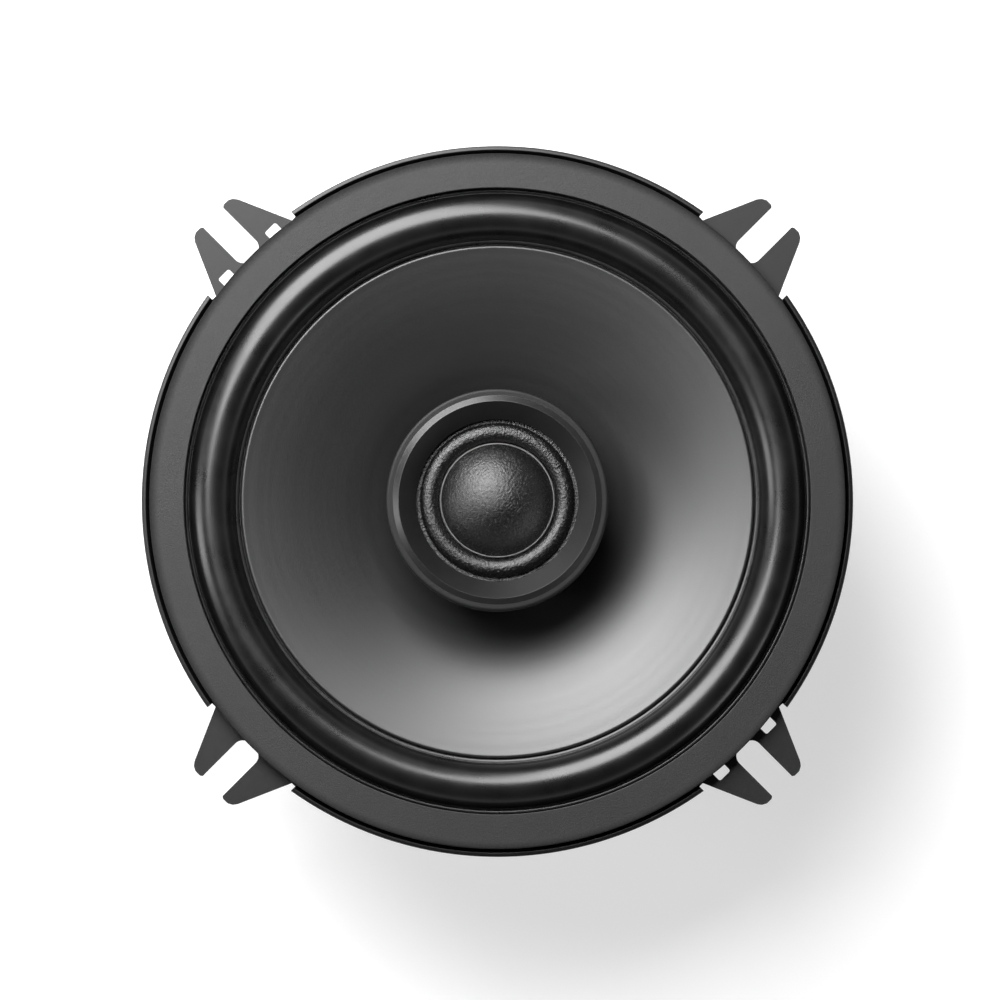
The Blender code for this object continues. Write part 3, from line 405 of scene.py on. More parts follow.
class Finish:
    """A Principled material whose nodes are made by short calls. Lengths are in metres, and the
    patterns lie in the piece's own coordinates."""

    def __init__(self, name, **sockets):
        self.material = bpy.data.materials.new(name)
        self.material.use_nodes = True
        self.tree = self.material.node_tree
        self.shader = self.tree.nodes["Principled BSDF"]
        for socket, value in sockets.items():
            self.set(socket.replace("_", " "), value)
        self.place = self.node("ShaderNodeTexCoord").outputs["Object"]

    def node(self, kind, **settings):
        made = self.tree.nodes.new(kind)
        for name, value in settings.items():
            setattr(made, name, value)
        return made

    def put(self, socket, value):
        if isinstance(value, bpy.types.NodeSocket):
            self.tree.links.new(value, socket)
        else:
            socket.default_value = value

    def set(self, name, value):
        self.put(self.shader.inputs[name], value)

    def noise(self, size, detail=3.0, rough=0.55, stretch=(1, 1, 1)):
        """Noise whose features are about that size in metres, from 0 to 1."""
        mapping = self.node("ShaderNodeMapping")
        self.put(mapping.inputs["Vector"], self.place)
        mapping.inputs["Scale"].default_value = [s / size for s in stretch]
        noise = self.node("ShaderNodeTexNoise")
        self.put(noise.inputs["Vector"], mapping.outputs["Vector"])
        noise.inputs["Scale"].default_value = 1.0
        noise.inputs["Detail"].default_value = detail
        noise.inputs["Roughness"].default_value = rough
        return noise.outputs["Fac"]

    def cells(self, size, feature="F1"):
        voronoi = self.node("ShaderNodeTexVoronoi", feature=feature)
        self.put(voronoi.inputs["Vector"], self.place)
        voronoi.inputs["Scale"].default_value = 1 / size
        return voronoi.outputs["Distance"]

    def wave(self, pitch, axis="X", profile="SIN", distort=0.0):
        """Parallel bands with that pitch in metres."""
        wave = self.node("ShaderNodeTexWave", bands_direction=axis, wave_profile=profile)
        self.put(wave.inputs["Vector"], self.place)
        wave.inputs["Scale"].default_value = math.tau / (20 * pitch)
        wave.inputs["Distortion"].default_value = distort
        wave.inputs["Detail"].default_value = 1.0
        return wave.outputs["Fac"]

    def radius(self):
        """Distance from the axis in metres."""
        flat = self.node("ShaderNodeVectorMath", operation="MULTIPLY")
        self.put(flat.inputs[0], self.place)
        flat.inputs[1].default_value = (1, 1, 0)
        length = self.node("ShaderNodeVectorMath", operation="LENGTH")
        self.put(length.inputs[0], flat.outputs["Vector"])
        return length.outputs["Value"]

    def rings(self, pitch):
        """Fine turned marks round the axis, uneven in depth."""
        noise = self.node("ShaderNodeTexNoise", noise_dimensions="1D")
        self.put(noise.inputs["W"], self.math("MULTIPLY", self.radius(), 1 / pitch))
        noise.inputs["Scale"].default_value = 1.0
        return noise.outputs["Fac"]

    def math(self, operation, a, b):
        made = self.node("ShaderNodeMath", operation=operation)
        self.put(made.inputs[0], a)
        self.put(made.inputs[1], b)
        return made.outputs["Value"]

    def spread(self, value, low, high, start=0.3, end=0.7):
        """Remaps a value from start..end to low..high."""
        made = self.node("ShaderNodeMapRange")
        for socket, number in zip(("From Min", "From Max", "To Min", "To Max"), (start, end, low, high)):
            made.inputs[socket].default_value = number
        self.put(made.inputs["Value"], value)
        return made.outputs["Result"]

    def colours(self, value, *stops):
        """A colour ramp of (position, colour) stops."""
        ramp = self.node("ShaderNodeValToRGB")
        self.put(ramp.inputs["Fac"], value)
        elements = ramp.color_ramp.elements
        while len(elements) < len(stops):
            elements.new(0.5)
        for element, (position, colour) in zip(elements, stops):
            element.position = position
            element.color = (*colour, 1.0)
        return ramp.outputs["Color"]

    def mixed(self, amount, a, b):
        made = self.node("ShaderNodeMix", data_type="RGBA")
        self.put(made.inputs["Factor"], amount)
        for name, value in (("A", a), ("B", b)):
            socket = [s for s in made.inputs if s.name == name and s.type == "RGBA"][0]
            self.put(socket, value if isinstance(value, bpy.types.NodeSocket) else (*value, 1.0))
        return [s for s in made.outputs if s.type == "RGBA"][0]

    def bump(self, *layers):
        """Relief from (height value, depth in metres) layers."""
        normal = None
        for height, depth in layers:
            bump = self.node("ShaderNodeBump")
            bump.inputs["Strength"].default_value = 1.0
            bump.inputs["Distance"].default_value = depth
            self.put(bump.inputs["Height"], height)
            if normal is not None:
                self.put(bump.inputs["Normal"], normal)
            normal = bump.outputs["Normal"]
        self.set("Normal", normal)

    def edge_wear(self, start=0.56, end=0.66):
        """1 on the sharpest outward edges, broken up by noise, and 0 elsewhere."""
        pointed = self.node("ShaderNodeNewGeometry").outputs["Pointiness"]
        broken = self.spread(self.noise(1.6 * MM, 4), 0.0, 1.0, 0.42, 0.62)
        return self.math("MULTIPLY", self.spread(pointed, 0.0, 1.0, start, end), broken)


def black_steel():
    """Satin black electro-coat with a faint orange peel."""
    finish = Finish("black coated steel", Specular_IOR_Level=0.4)
    cloud = finish.noise(9 * MM, 3)
    grain = finish.noise(0.35 * MM, 3)
    base = finish.colours(cloud, (0.3, (0.0028, 0.0028, 0.0029)), (0.7, (0.0045, 0.0045, 0.0046)))
    finish.set("Base Color", finish.mixed(finish.spread(grain, 0.0, 0.3), base, (0.012, 0.012, 0.0122)))
    finish.set("Roughness", finish.spread(grain, 0.36, 0.48))
    finish.bump((finish.noise(1.1 * MM, 2), 0.004 * MM), (grain, 0.006 * MM))
    return finish.material


def gasket_foam():
    """Dense black foam rubber: pores, a fine pressed grain, a slight grey bloom, and painted shade
    along the outer edge: darker and rougher there, it stands in for the shadow of the frame's lip."""
    finish = Finish("gasket foam", Specular_IOR_Level=0.45)
    pores = finish.cells(0.3 * MM)
    fine = finish.noise(0.3 * MM, 4, 0.7)
    bloom = finish.noise(14 * MM, 4)
    base = finish.colours(bloom, (0.3, (0.005, 0.005, 0.0051)), (0.7, (0.008, 0.008, 0.0082)))
    dark = finish.spread(pores, 0.5, 0.0, 0.0, 0.45)
    skin = finish.mixed(dark, base, (0.002, 0.002, 0.002))
    # painted shade: the outer 1.7 mm of the gasket is darkened toward black in place of the frame lip's shadow; the
    # same mask also raises the roughness there
    painted_edge_shade = finish.spread(finish.radius(), 0.0, 1.0, GASKET_OUTER - 1.7 * MM, GASKET_OUTER - 0.1 * MM)
    finish.set("Base Color", finish.mixed(painted_edge_shade, skin, (0.001, 0.001, 0.001)))
    rough = finish.math("ADD", finish.spread(fine, 0.42, 0.6), finish.math("MULTIPLY", painted_edge_shade, 0.4))
    finish.set("Roughness", rough)
    finish.bump((pores, 0.012 * MM), (fine, 0.014 * MM))
    return finish.material


def surround_rubber():
    """Moulded butyl rubber, smooth and half glossy, with a trace of dusty bloom."""
    finish = Finish("butyl rubber", Specular_IOR_Level=0.5)
    fine = finish.noise(0.25 * MM, 3)
    bloom = finish.noise(6 * MM, 5)
    finish.set("Base Color", finish.colours(bloom, (0.35, (0.003, 0.003, 0.003)), (0.75, (0.006, 0.006, 0.006))))
    finish.set("Roughness", finish.math("ADD", finish.spread(bloom, 0.27, 0.33), finish.spread(fine, -0.02, 0.02)))
    finish.bump((fine, 0.0025 * MM), (finish.noise(3 * MM, 2), 0.006 * MM))
    return finish.material


def cone_plastic():
    """Injection-moulded filled polypropylene: satin dark grey, with a very fine spark-eroded grain
    and faint flow round the axis."""
    finish = Finish("filled polypropylene", Specular_IOR_Level=0.86)
    fine = finish.noise(0.3 * MM, 3, 0.65)
    flow = finish.rings(1.7 * MM)
    cloud = finish.noise(16 * MM, 3)
    base = finish.colours(cloud, (0.3, (0.0075, 0.0076, 0.008)), (0.7, (0.0095, 0.0096, 0.0101)))
    finish.set("Base Color", finish.mixed(finish.spread(fine, 0.0, 0.25), base, (0.015, 0.015, 0.0155)))
    finish.set("Roughness", finish.math("ADD", finish.spread(flow, 0.4, 0.42), finish.spread(fine, -0.02, 0.03)))
    finish.bump((fine, 0.007 * MM))
    return finish.material


def black_plastic():
    """Moulded black ABS with a fine matte mould texture."""
    finish = Finish("matte moulded plastic", Specular_IOR_Level=0.28)
    fine = finish.noise(0.15 * MM, 3)
    cloud = finish.noise(5 * MM, 3)
    finish.set("Base Color", finish.colours(cloud, (0.3, (0.004, 0.004, 0.0042)), (0.7, (0.006, 0.006, 0.0063))))
    finish.set("Roughness", finish.spread(fine, 0.44, 0.56))
    finish.bump((fine, 0.006 * MM), (finish.cells(0.2 * MM), 0.004 * MM))
    return finish.material


def bevel_plastic():
    """The polished bevel of the bezel, with the finest hairlines."""
    finish = Finish("polished moulded plastic", Specular_IOR_Level=0.5)
    fine = finish.noise(0.4 * MM, 4, stretch=(1, 1, 0.2))
    finish.set("Base Color", finish.colours(fine, (0.3, (0.006, 0.006, 0.0062)), (0.7, (0.009, 0.009, 0.0093))))
    finish.set("Roughness", finish.spread(fine, 0.31, 0.37))
    finish.bump((finish.noise(2.5 * MM, 2), 0.003 * MM))
    return finish.material


def dome_cloth():
    """Fine woven cloth under a soft black coating that fills the weave unevenly."""
    finish = Finish(
        "coated cloth", Specular_IOR_Level=0.66, Sheen_Weight=0.01, Sheen_Roughness=0.5,
        Sheen_Tint=(0.6, 0.6, 0.62, 1.0),
    )
    weave = finish.math(
        "MULTIPLY", finish.wave(0.26 * MM, "X", distort=0.6), finish.wave(0.26 * MM, "Y", distort=0.6)
    )
    coat = finish.noise(0.42 * MM, 3, 0.65)
    crinkle = finish.cells(0.34 * MM, "SMOOTH_F1")
    base = finish.colours(coat, (0.35, (0.001, 0.001, 0.001)), (0.7, (0.005, 0.005, 0.0052)))
    finish.set("Base Color", base)
    finish.set("Roughness", finish.spread(coat, 0.2, 0.3))
    finish.bump((weave, 0.02 * MM), (crinkle, 0.075 * MM), (coat, 0.14 * MM))
    return finish.material


def spider_cloth():
    """Cotton cloth stiffened with resin: an open weave, darker where the resin pooled."""
    finish = Finish("resin-dipped cotton", Specular_IOR_Level=0.3, Sheen_Weight=0.1)
    weave = finish.math(
        "MAXIMUM", finish.wave(0.55 * MM, "X", distort=0.9), finish.wave(0.55 * MM, "Y", distort=0.9)
    )
    pool = finish.noise(7 * MM, 4)
    base = finish.colours(
        pool, (0.3, (0.42, 0.24, 0.07)), (0.55, (0.56, 0.36, 0.13)), (0.75, (0.63, 0.44, 0.19))
    )
    finish.set("Base Color", finish.mixed(finish.spread(weave, 0.55, 0.0, 0.2, 0.8), base, (0.20, 0.10, 0.03)))
    finish.set("Roughness", finish.spread(pool, 0.6, 0.85))
    finish.bump((weave, 0.12 * MM), (finish.noise(0.12 * MM, 3), 0.03 * MM))
    return finish.material


def plated_steel():
    """Zinc plating over turned steel: fine turning marks and a cloudy passivate."""
    finish = Finish("zinc-plated steel", Metallic=1.0)
    cloud = finish.noise(4 * MM, 5)
    marks = finish.rings(0.22 * MM)
    base = finish.colours(
        cloud, (0.3, (0.37, 0.375, 0.385)), (0.55, (0.42, 0.425, 0.425)), (0.75, (0.44, 0.435, 0.41))
    )
    finish.set("Base Color", base)
    rough = finish.math("ADD", finish.spread(cloud, 0.27, 0.33), finish.spread(marks, -0.05, 0.07))
    finish.set("Roughness", rough)
    finish.bump((marks, 0.012 * MM), (finish.noise(0.3 * MM, 3), 0.003 * MM))
    return finish.material


def ferrite():
    """Pressed ferrite, dark grey and slightly granular, with fine chips along its edges."""
    finish = Finish("ferrite", Specular_IOR_Level=0.6)
    grain = finish.noise(0.3 * MM, 5, 0.65)
    patch = finish.noise(6 * MM, 4)
    base = finish.colours(patch, (0.3, (0.024, 0.024, 0.025)), (0.7, (0.040, 0.040, 0.041)))
    finish.set("Base Color", finish.mixed(finish.edge_wear(0.52, 0.6), base, (0.11, 0.108, 0.105)))
    finish.set("Roughness", finish.spread(grain, 0.42, 0.66))
    finish.bump((grain, 0.03 * MM), (finish.noise(2.2 * MM, 3), 0.04 * MM))
    return finish.material


def phenolic():
    """Paper phenolic: brown, faintly fibrous, with a resin gloss."""
    finish = Finish("paper phenolic", Specular_IOR_Level=0.5)
    fibre = finish.noise(0.5 * MM, 4, stretch=(1, 0.15, 1))
    cloud = finish.noise(5 * MM, 3)
    base = finish.colours(cloud, (0.3, (0.17, 0.075, 0.025)), (0.7, (0.25, 0.12, 0.045)))
    finish.set("Base Color", finish.mixed(finish.spread(fibre, 0.0, 0.5), base, (0.34, 0.19, 0.09)))
    finish.set("Roughness", finish.spread(fibre, 0.34, 0.5))
    finish.bump((fibre, 0.01 * MM))
    return finish.material


def tinned_brass():
    """Tinned brass sheet with rolling marks, the brass showing at its worn edges."""
    finish = Finish("tinned brass", Metallic=1.0)
    roll = finish.noise(0.25 * MM, 3, stretch=(0.06, 1, 1))
    cloud = finish.noise(3 * MM, 4)
    base = finish.colours(cloud, (0.3, (0.56, 0.55, 0.51)), (0.7, (0.68, 0.67, 0.63)))
    finish.set("Base Color", finish.mixed(finish.edge_wear(), base, (0.62, 0.44, 0.17)))
    finish.set("Roughness", finish.math("ADD", finish.spread(cloud, 0.2, 0.32), finish.spread(roll, -0.03, 0.06)))
    finish.bump((roll, 0.006 * MM))
    return finish.material


def copper(name="enamelled copper", base=(0.50, 0.17, 0.06), rough=0.3):
    finish = Finish(name, Metallic=1.0)
    cloud = finish.noise(0.8 * MM, 4)
    light = tuple(min(1.0, c * 1.3) for c in base)
    finish.set("Base Color", finish.colours(cloud, (0.3, base), (0.7, light)))
    finish.set("Roughness", finish.spread(cloud, rough - 0.06, rough + 0.1))
    finish.bump((finish.noise(0.12 * MM, 2), 0.006 * MM))
    return finish.material


def polyimide():
    """Amber film, a little clear, wound on itself."""
    finish = Finish("polyimide film", Specular_IOR_Level=0.55)
    turns = finish.wave(2.4 * MM, "Z", "SAW")
    cloud = finish.noise(3 * MM, 3)
    base = finish.colours(cloud, (0.3, (0.30, 0.115, 0.018)), (0.7, (0.42, 0.18, 0.035)))
    finish.set("Base Color", finish.mixed(finish.spread(turns, 0.0, 0.3, 0.85, 1.0), base, (0.2, 0.07, 0.01)))
    finish.set("Roughness", finish.spread(cloud, 0.2, 0.32))
    finish.bump((finish.noise(0.6 * MM, 2), 0.008 * MM))
    return finish.material


def soft_plastic(name, dark, light, rough):
    """Wire insulation or sleeving, a little uneven in gloss."""
    finish = Finish(name, Specular_IOR_Level=0.5)
    cloud = finish.noise(1.5 * MM, 4)
    finish.set("Base Color", finish.colours(cloud, (0.3, dark), (0.7, light)))
    finish.set("Roughness", finish.spread(cloud, rough - 0.06, rough + 0.08))
    finish.bump((finish.noise(0.3 * MM, 3), 0.01 * MM))
    return finish.material


def felt():
    finish = Finish("grey felt", Sheen_Weight=0.3)
    fibre = finish.noise(0.2 * MM, 5, 0.7)
    finish.set("Base Color", finish.colours(fibre, (0.3, (0.10, 0.10, 0.10)), (0.7, (0.24, 0.24, 0.23))))
    finish.set("Roughness", finish.spread(fibre, 0.85, 1.0))
    finish.bump((fibre, 0.12 * MM))
    return finish.material


def nickel():
    finish = Finish("nickel plate", Metallic=1.0)
    cloud = finish.noise(1.2 * MM, 4)
    finish.set("Base Color", finish.colours(cloud, (0.3, (0.58, 0.57, 0.54)), (0.7, (0.66, 0.65, 0.62))))
    finish.set("Roughness", finish.spread(cloud, 0.16, 0.26))
    finish.bump((finish.noise(0.3 * MM, 3), 0.004 * MM))
    return finish.material


SLOTS = {
    "black_steel": black_steel(),
    "gasket": gasket_foam(),
    "surround_rubber": surround_rubber(),
    "cone": cone_plastic(),
    "former": polyimide(),
    "copper": copper(),
    "spider_cloth": spider_cloth(),
    "plated_steel": plated_steel(),
    "ferrite": ferrite(),
    "phenolic": phenolic(),
    "tinned_brass": tinned_brass(),
    "capacitor_sleeve": soft_plastic("blue sleeve", (0.012, 0.022, 0.075), (0.02, 0.035, 0.10), 0.26),
    "copper_braid": copper("copper braid", (0.60, 0.27, 0.12), 0.36),
    "red_wire": soft_plastic("red insulation", (0.36, 0.008, 0.008), (0.46, 0.015, 0.012), 0.4),
    "black_wire": soft_plastic("black insulation", (0.008, 0.008, 0.008), (0.014, 0.014, 0.014), 0.4),
    "black_plastic": black_plastic(),
    "nickel": nickel(),
    "felt": felt(),
    "dome_cloth": dome_cloth(),
}
BEVEL = bevel_plastic()
# The bead of adhesive round the dome is light grey, far above the black parts round it: partly its own colour, partly a
# painted highlight for the bright line along the dome's edge.
ADHESIVE_PAINTED_HIGHLIGHT = soft_plastic("adhesive with painted highlight", (0.10, 0.10, 0.10), (0.17, 0.17, 0.17), 0.22)
NODE_SLOTS = {}
BODIES = {}


def read_record():
    """Which slot and which body each CAD node has, as the record says."""
    record = frame["record"]
    rows = [r for rows in record.values() if isinstance(rows, list) for r in rows]
    for row in rows:
        if isinstance(row, dict) and "node" in row and "material_slot" in row:
            NODE_SLOTS[row["node"]] = row["material_slot"]
    for name, obj in frame["nodes"].items():
        BODIES[name] = body_of(obj)[0]


def place(obj, node, body=None):
    """The piece stands for a CAD node: it takes its slot's material and rides on its body."""
    slot = NODE_SLOTS[node]
    if not obj.data.materials:
        obj.data.materials.append(SLOTS[slot])
    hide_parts(node)
    if body != "blend":
        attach(obj, BODIES[node])
    return obj


def refinish_kept_nodes():
    """The CAD nodes that stay get their slot's material."""
    for name, obj in frame["nodes"].items():
        if not obj.hide_render:
            obj.data.materials.clear()
            obj.data.materials.append(SLOTS[NODE_SLOTS[name]])


def blend_by_radius(obj, moving, moving_radius, still_radius):
    """The piece follows the moving body inside one radius and the frame outside the other."""
    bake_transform(obj, "frame", moving, start=(still_radius, 0, 0), end=(moving_radius, 0, 0))
    points = np.array([tuple(v.co) for v in obj.data.vertices])
    radii = np.hypot(points[:, 0], points[:, 1])
    set_follow(obj, (still_radius - radii) / (still_radius - moving_radius))


def set_follow(obj, share):
    """How far each point of a blended piece follows the moving body, smoothed at both ends."""
    share = np.clip(share, 0, 1)
    share = share * share * (3 - 2 * share)
    obj.data.attributes["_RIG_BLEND"].data.foreach_set("value", share.astype(np.float32))


# ---------------------------------------------------------------- motor

def motor():
    soft = 0.25 * MM
    pole = 12.35 * MM
    bore = 4.8 * MM
    recess = (9.0 * MM, 6.5 * MM)
    yoke = lathe(
        "yoke_turned",
        rounded(
            [
                (bore, POLE_TOP),
                (pole, POLE_TOP, 0.8 * MM),
                (pole, MAGNET_LOW - GAP, 0.5 * MM),
                (YOKE_OUTER, MAGNET_LOW - GAP),
                (YOKE_OUTER, YOKE_LOW, 1.6 * MM),
                (recess[0], YOKE_LOW, 0.4 * MM),
                (recess[0], recess[1], 0.4 * MM),
                (bore, recess[1]),
            ],
            soft,
        ),
    )
    groove = block((-40 * MM, -1.6 * MM, -5 * MM), (-7 * MM, 1.6 * MM, 2.4 * MM))
    place(combined(yoke, groove), "yoke")

    hole = 16.0 * MM
    magnet = rounded(
        [(hole, MAGNET_TOP), (MAGNET_OUTER, MAGNET_TOP), (MAGNET_OUTER, MAGNET_LOW), (hole, MAGNET_LOW)],
        0.9 * MM,
    )
    place(lathe("magnet_pressed", magnet, shape=chipped), "magnet_ring")

    inner = 14.1 * MM
    plate = lathe(
        "top_plate_turned",
        rounded(
            [(inner, PLATE_TOP), (PLATE_OUTER, PLATE_TOP, 0.6 * MM), (PLATE_OUTER, PLATE_LOW), (inner, PLATE_LOW)],
            soft,
        ),
    )
    holes = turned_copies(rivet_drill(1.9 * MM, PLATE_LOW - MM, PLATE_TOP + MM), LEGS)
    place(combined(plate, holes), "top_plate")


def chipped(points):
    """Presses slight unevenness into a ferrite ring's rim."""
    turn = np.arctan2(points[:, 1], points[:, 0])
    wander = 0.02 * MM * (np.sin(7 * turn + 1.3) + 0.6 * np.sin(17 * turn) + 0.4 * np.sin(31 * turn + 0.4))
    radii = np.hypot(points[:, 0], points[:, 1])
    scale = 1 - (np.abs(wander) / radii)
    return points * np.stack([scale, scale, np.ones_like(scale)], axis=1)


def rivet_drill(radius, low, high, circle=25.0 * MM):
    drill = lathe("drill", [(0, high), (radius, high), (radius, low), (0, low)], SMALL)
    drill.matrix_world = Matrix.Translation((circle, 0, 0))
    return drill


# ---------------------------------------------------------------- frame

def frame_line():
    """The middle of the frame's sheet from its lip down to the hole in its floor."""
    flare = math.radians(15)
    lip = 67.0 * MM - SHEET / 2 * math.cos(flare)
    foot = lip - (LIP_TOP - FLANGE) * math.tan(flare)
    ledge_outer = 37.6 * MM
    return rounded(
        [
            (lip, LIP_TOP - LIP_CORNER),
            (foot, FLANGE, 0.8 * MM),
            (57.8 * MM, FLANGE, 1.6 * MM),
            (56.2 * MM, 44.0 * MM, 2.0 * MM),
            (54.0 * MM, 41.9 * MM, 3.0 * MM),
            (ledge_outer + 1.2 * MM, LEDGE + 1.0 * MM, 1.0 * MM),
            (ledge_outer, LEDGE, 0.5 * MM),
            (33.2 * MM, LEDGE, 1.2 * MM),
            (31.2 * MM, FLOOR, 1.2 * MM),
            (16.0 * MM, FLOOR),
        ],
        0,
        closed=False,
        steps=6,
    )


def subdivided(line, step):
    """The same line with points no further apart than step."""
    points = [line[0]]
    for a, b in zip(line, line[1:]):
        pieces = max(1, math.ceil(math.dist(a, b) / step))
        points.extend(
            (a[0] + (b[0] - a[0]) * k / pieces, a[1] + (b[1] - a[1]) * k / pieces)
            for k in range(1, pieces + 1)
        )
    return points


def pressed_legs(points):
    """Presses a stiffening rib outwards down the middle of each leg."""
    radii = np.hypot(points[:, 0], points[:, 1])
    turn = np.arctan2(points[:, 1], points[:, 0])
    off = np.abs((turn - LEGS[0] + math.pi / 4) % (math.pi / 2) - math.pi / 4) * radii
    across = np.clip((5.2 * MM - off) / (2.4 * MM), 0, 1)
    rise = np.clip((points[:, 2] - 32.6 * MM) / (1.6 * MM), 0, 1)
    fall = np.clip((41.6 * MM - points[:, 2]) / (1.4 * MM), 0, 1)
    depth = across**2 * (3 - 2 * across) * rise**2 * (3 - 2 * rise) * fall**2 * (3 - 2 * fall)
    shift = 1.1 * MM * depth
    out = np.stack([points[:, 0] / radii, points[:, 1] / radii], axis=1)
    slope = math.radians(55)
    points[:, :2] += out * (shift * math.cos(slope))[:, None]
    points[:, 2] -= shift * math.sin(slope)
    return points


def ear_pair():
    """Two ears along +X with an open slot between, and a waist where they meet the flange."""
    side = 2.65 * MM
    bottom = 65.2 * MM
    tip = FRAME_TIP + 0.15 * MM
    half = [
        *arc((bottom + 1.9 * MM, side - 1.9 * MM), 1.9 * MM, 180, 90, 8),
        *rounded(
            [
                (68.0 * MM, side),
                (tip - 0.3 * MM, side, 0.3 * MM),
                (tip, 3.1 * MM, 0.4 * MM),
                (tip, 4.3 * MM, 0.6 * MM),
                (75.65 * MM, 5.2 * MM, 0.6 * MM),
                (74.9 * MM, 5.75 * MM, 0.8 * MM),
                (64.9 * MM, 10.15 * MM),
            ],
            0,
            closed=False,
        ),
        (61.0 * MM, 10.15 * MM),
    ]
    return half + [(x, -y) for x, y in reversed(half)]


def basket():
    section = sheet(subdivided(frame_line(), 1.2 * MM), SHEET, LIP_CORNER)
    shell = lathe("basket_pressed", section, LARGE, pressed_legs)
    above = LIP_TOP + 2 * MM
    notch = block((64.9 * MM, -11.1 * MM, 45 * MM), (80 * MM, 11.1 * MM, above))
    shell = combined(shell, turned_copies(notch, PAIRS))
    skin = 0.02 * MM
    ears = curve_plate(
        "ears", [ear_pair()], FLANGE - SHEET / 2 + skin, FLANGE + SHEET / 2 - skin, 0.0
    )
    shell = combined(shell, turned_copies(ears, PAIRS), "UNION")
    window = block((36 * MM, -24 * MM, LEDGE + 1.5 * MM), (72 * MM, 24 * MM, 41.6 * MM), 3 * MM, 8)
    shell = combined(shell, turned_copies(window, PAIRS))
    seat = block(
        (-60 * MM, BOARD_LOW.y - MM, LEDGE + SHEET / 2 + skin), (-37 * MM, BOARD_HIGH.y + MM, 35 * MM)
    )
    shell = combined(shell, seat)
    tab = block(
        (-46.6 * MM, -4 * MM, LEDGE - SHEET / 2 + skin), (-36.6 * MM, 4 * MM, LEDGE + SHEET / 2 - skin)
    )
    shell = combined(shell, tab, "UNION")
    drill = lathe("drill", [(0, 33 * MM), (1.3 * MM, 33 * MM), (1.3 * MM, 28 * MM), (0, 28 * MM)], SMALL)
    drill.matrix_world = Matrix.Translation((-39.9 * MM, 0, 0))
    shell = combined(shell, drill)
    holes = turned_copies(rivet_drill(1.9 * MM, FLOOR - 2 * MM, FLOOR + 2 * MM), LEGS)
    shell = combined(shell, holes)
    slits = [
        block((61.3 * MM, low, 45 * MM), (66.9 * MM, low + 2.8 * MM, above), 0.4 * MM, 3)
        for low in (4.8 * MM, -7.6 * MM)
    ]
    shell = combined(shell, turned_copies(joined("slits", slits), (PAIRS[1], PAIRS[3])))
    place(shell, "basket_frame")

    low = FLOOR + SHEET / 2 + GAP
    head = 3.0 * MM
    profile = [
        (0, low + 1.25 * MM),
        *[(head * math.sin(t), low + 0.25 * MM + MM * math.cos(t)) for t in np.linspace(0.15, 1.5, 8)],
        (head, low + 0.1 * MM),
        (head - 0.1 * MM, low),
        (1.6 * MM, low),
        (1.6 * MM, PLATE_LOW + GAP),
        (0, PLATE_LOW + GAP),
    ]
    rivet = lathe("frame_rivet_formed", profile, SMALL)
    for number, angle in enumerate(LEGS, 1):
        copy = bpy.data.objects.new(f"frame_rivet_formed_{number}", rivet.data)
        copy.location = (25 * MM * math.cos(angle), 25 * MM * math.sin(angle), 0)
        bpy.context.scene.collection.objects.link(copy)
        place(copy, f"frame_rivet_{number}")
    bpy.data.objects.remove(rivet, do_unlink=True)


def gasket():
    inner = 59.05 * MM
    section = rounded(
        [
            (inner, GASKET_TOP, 0.1 * MM),
            (GASKET_OUTER, GASKET_TOP, 0.2 * MM),
            (GASKET_OUTER, GASKET_LOW, 0.3 * MM),
            (inner, GASKET_LOW, 0.3 * MM),
        ],
        0,
    )
    place(lathe("gasket_ring", section), "front_gasket")


# ---------------------------------------------------------------- woofer

def cone_height(radius):
    """Middle of the cone's wall, steeper at the neck than at the rim."""
    neck, rim = (13.9 * MM, 33.9 * MM), (49.0 * MM, 47.7 * MM)
    t = (radius - neck[0]) / (rim[0] - neck[0])
    return neck[1] + t * (rim[1] - neck[1]) + 1.5 * MM * 4 * t * (1 - t)


def woofer():
    wall = 0.7 * MM
    shoulder = CONE_SHOULDER
    rim = cone_height(shoulder) - RIM_STEP
    step = rounded(
        [
            (CONE_OUTER - wall / 2, rim),
            (shoulder + 0.1 * MM, rim, 0.15 * MM),
            (shoulder - 0.1 * MM, cone_height(shoulder), 0.15 * MM),
            (shoulder - 1.2 * MM, cone_height(shoulder - 1.2 * MM)),
        ],
        0,
        closed=False,
    )
    slope = [(r, cone_height(r)) for r in np.linspace(shoulder - 1.2 * MM, 13.9 * MM, 28)]
    neck = [(13.9 * MM, 33.5 * MM), (13.9 * MM, CONE_LOW + MM / 10)]
    place(lathe("cone_moulded", sheet([*step, *slope[1:], *neck], wall)), "cone")

    former = 12.75 * MM
    film = [
        (former, FORMER_TOP),
        (FORMER_OUTER, FORMER_TOP),
        (FORMER_OUTER, FORMER_LOW),
        (former, FORMER_LOW),
    ]
    place(lathe("former_wound", rounded(film, 0.1 * MM, steps=2), MEDIUM), "voice_coil_former")
    place(winding("winding_wound", FORMER_OUTER + 0.02 * MM, COIL_OUTER, COIL_LOW, COIL_HIGH), "voice_coil_winding")

    surround()
    spider()
    for name, side in (("tinsel_lead_positive", 1), ("tinsel_lead_negative", -1)):
        tinsel(name, side)


def winding(name, inner, outer, low, high, pitch=0.25 * MM):
    """A close-wound coil, each turn showing as a ridge."""
    turns = round((high - low) / pitch)
    pitch = (high - low) / turns
    section = [(inner, high)]
    for k in range(turns):
        top = high - k * pitch
        section.append((outer - pitch * 0.3, top))
        section.append((outer, top - pitch / 2))
    section.append((outer - pitch * 0.3, low))
    section.append((inner, low))
    return smooth(lathe(name, section, MEDIUM), math.radians(100))


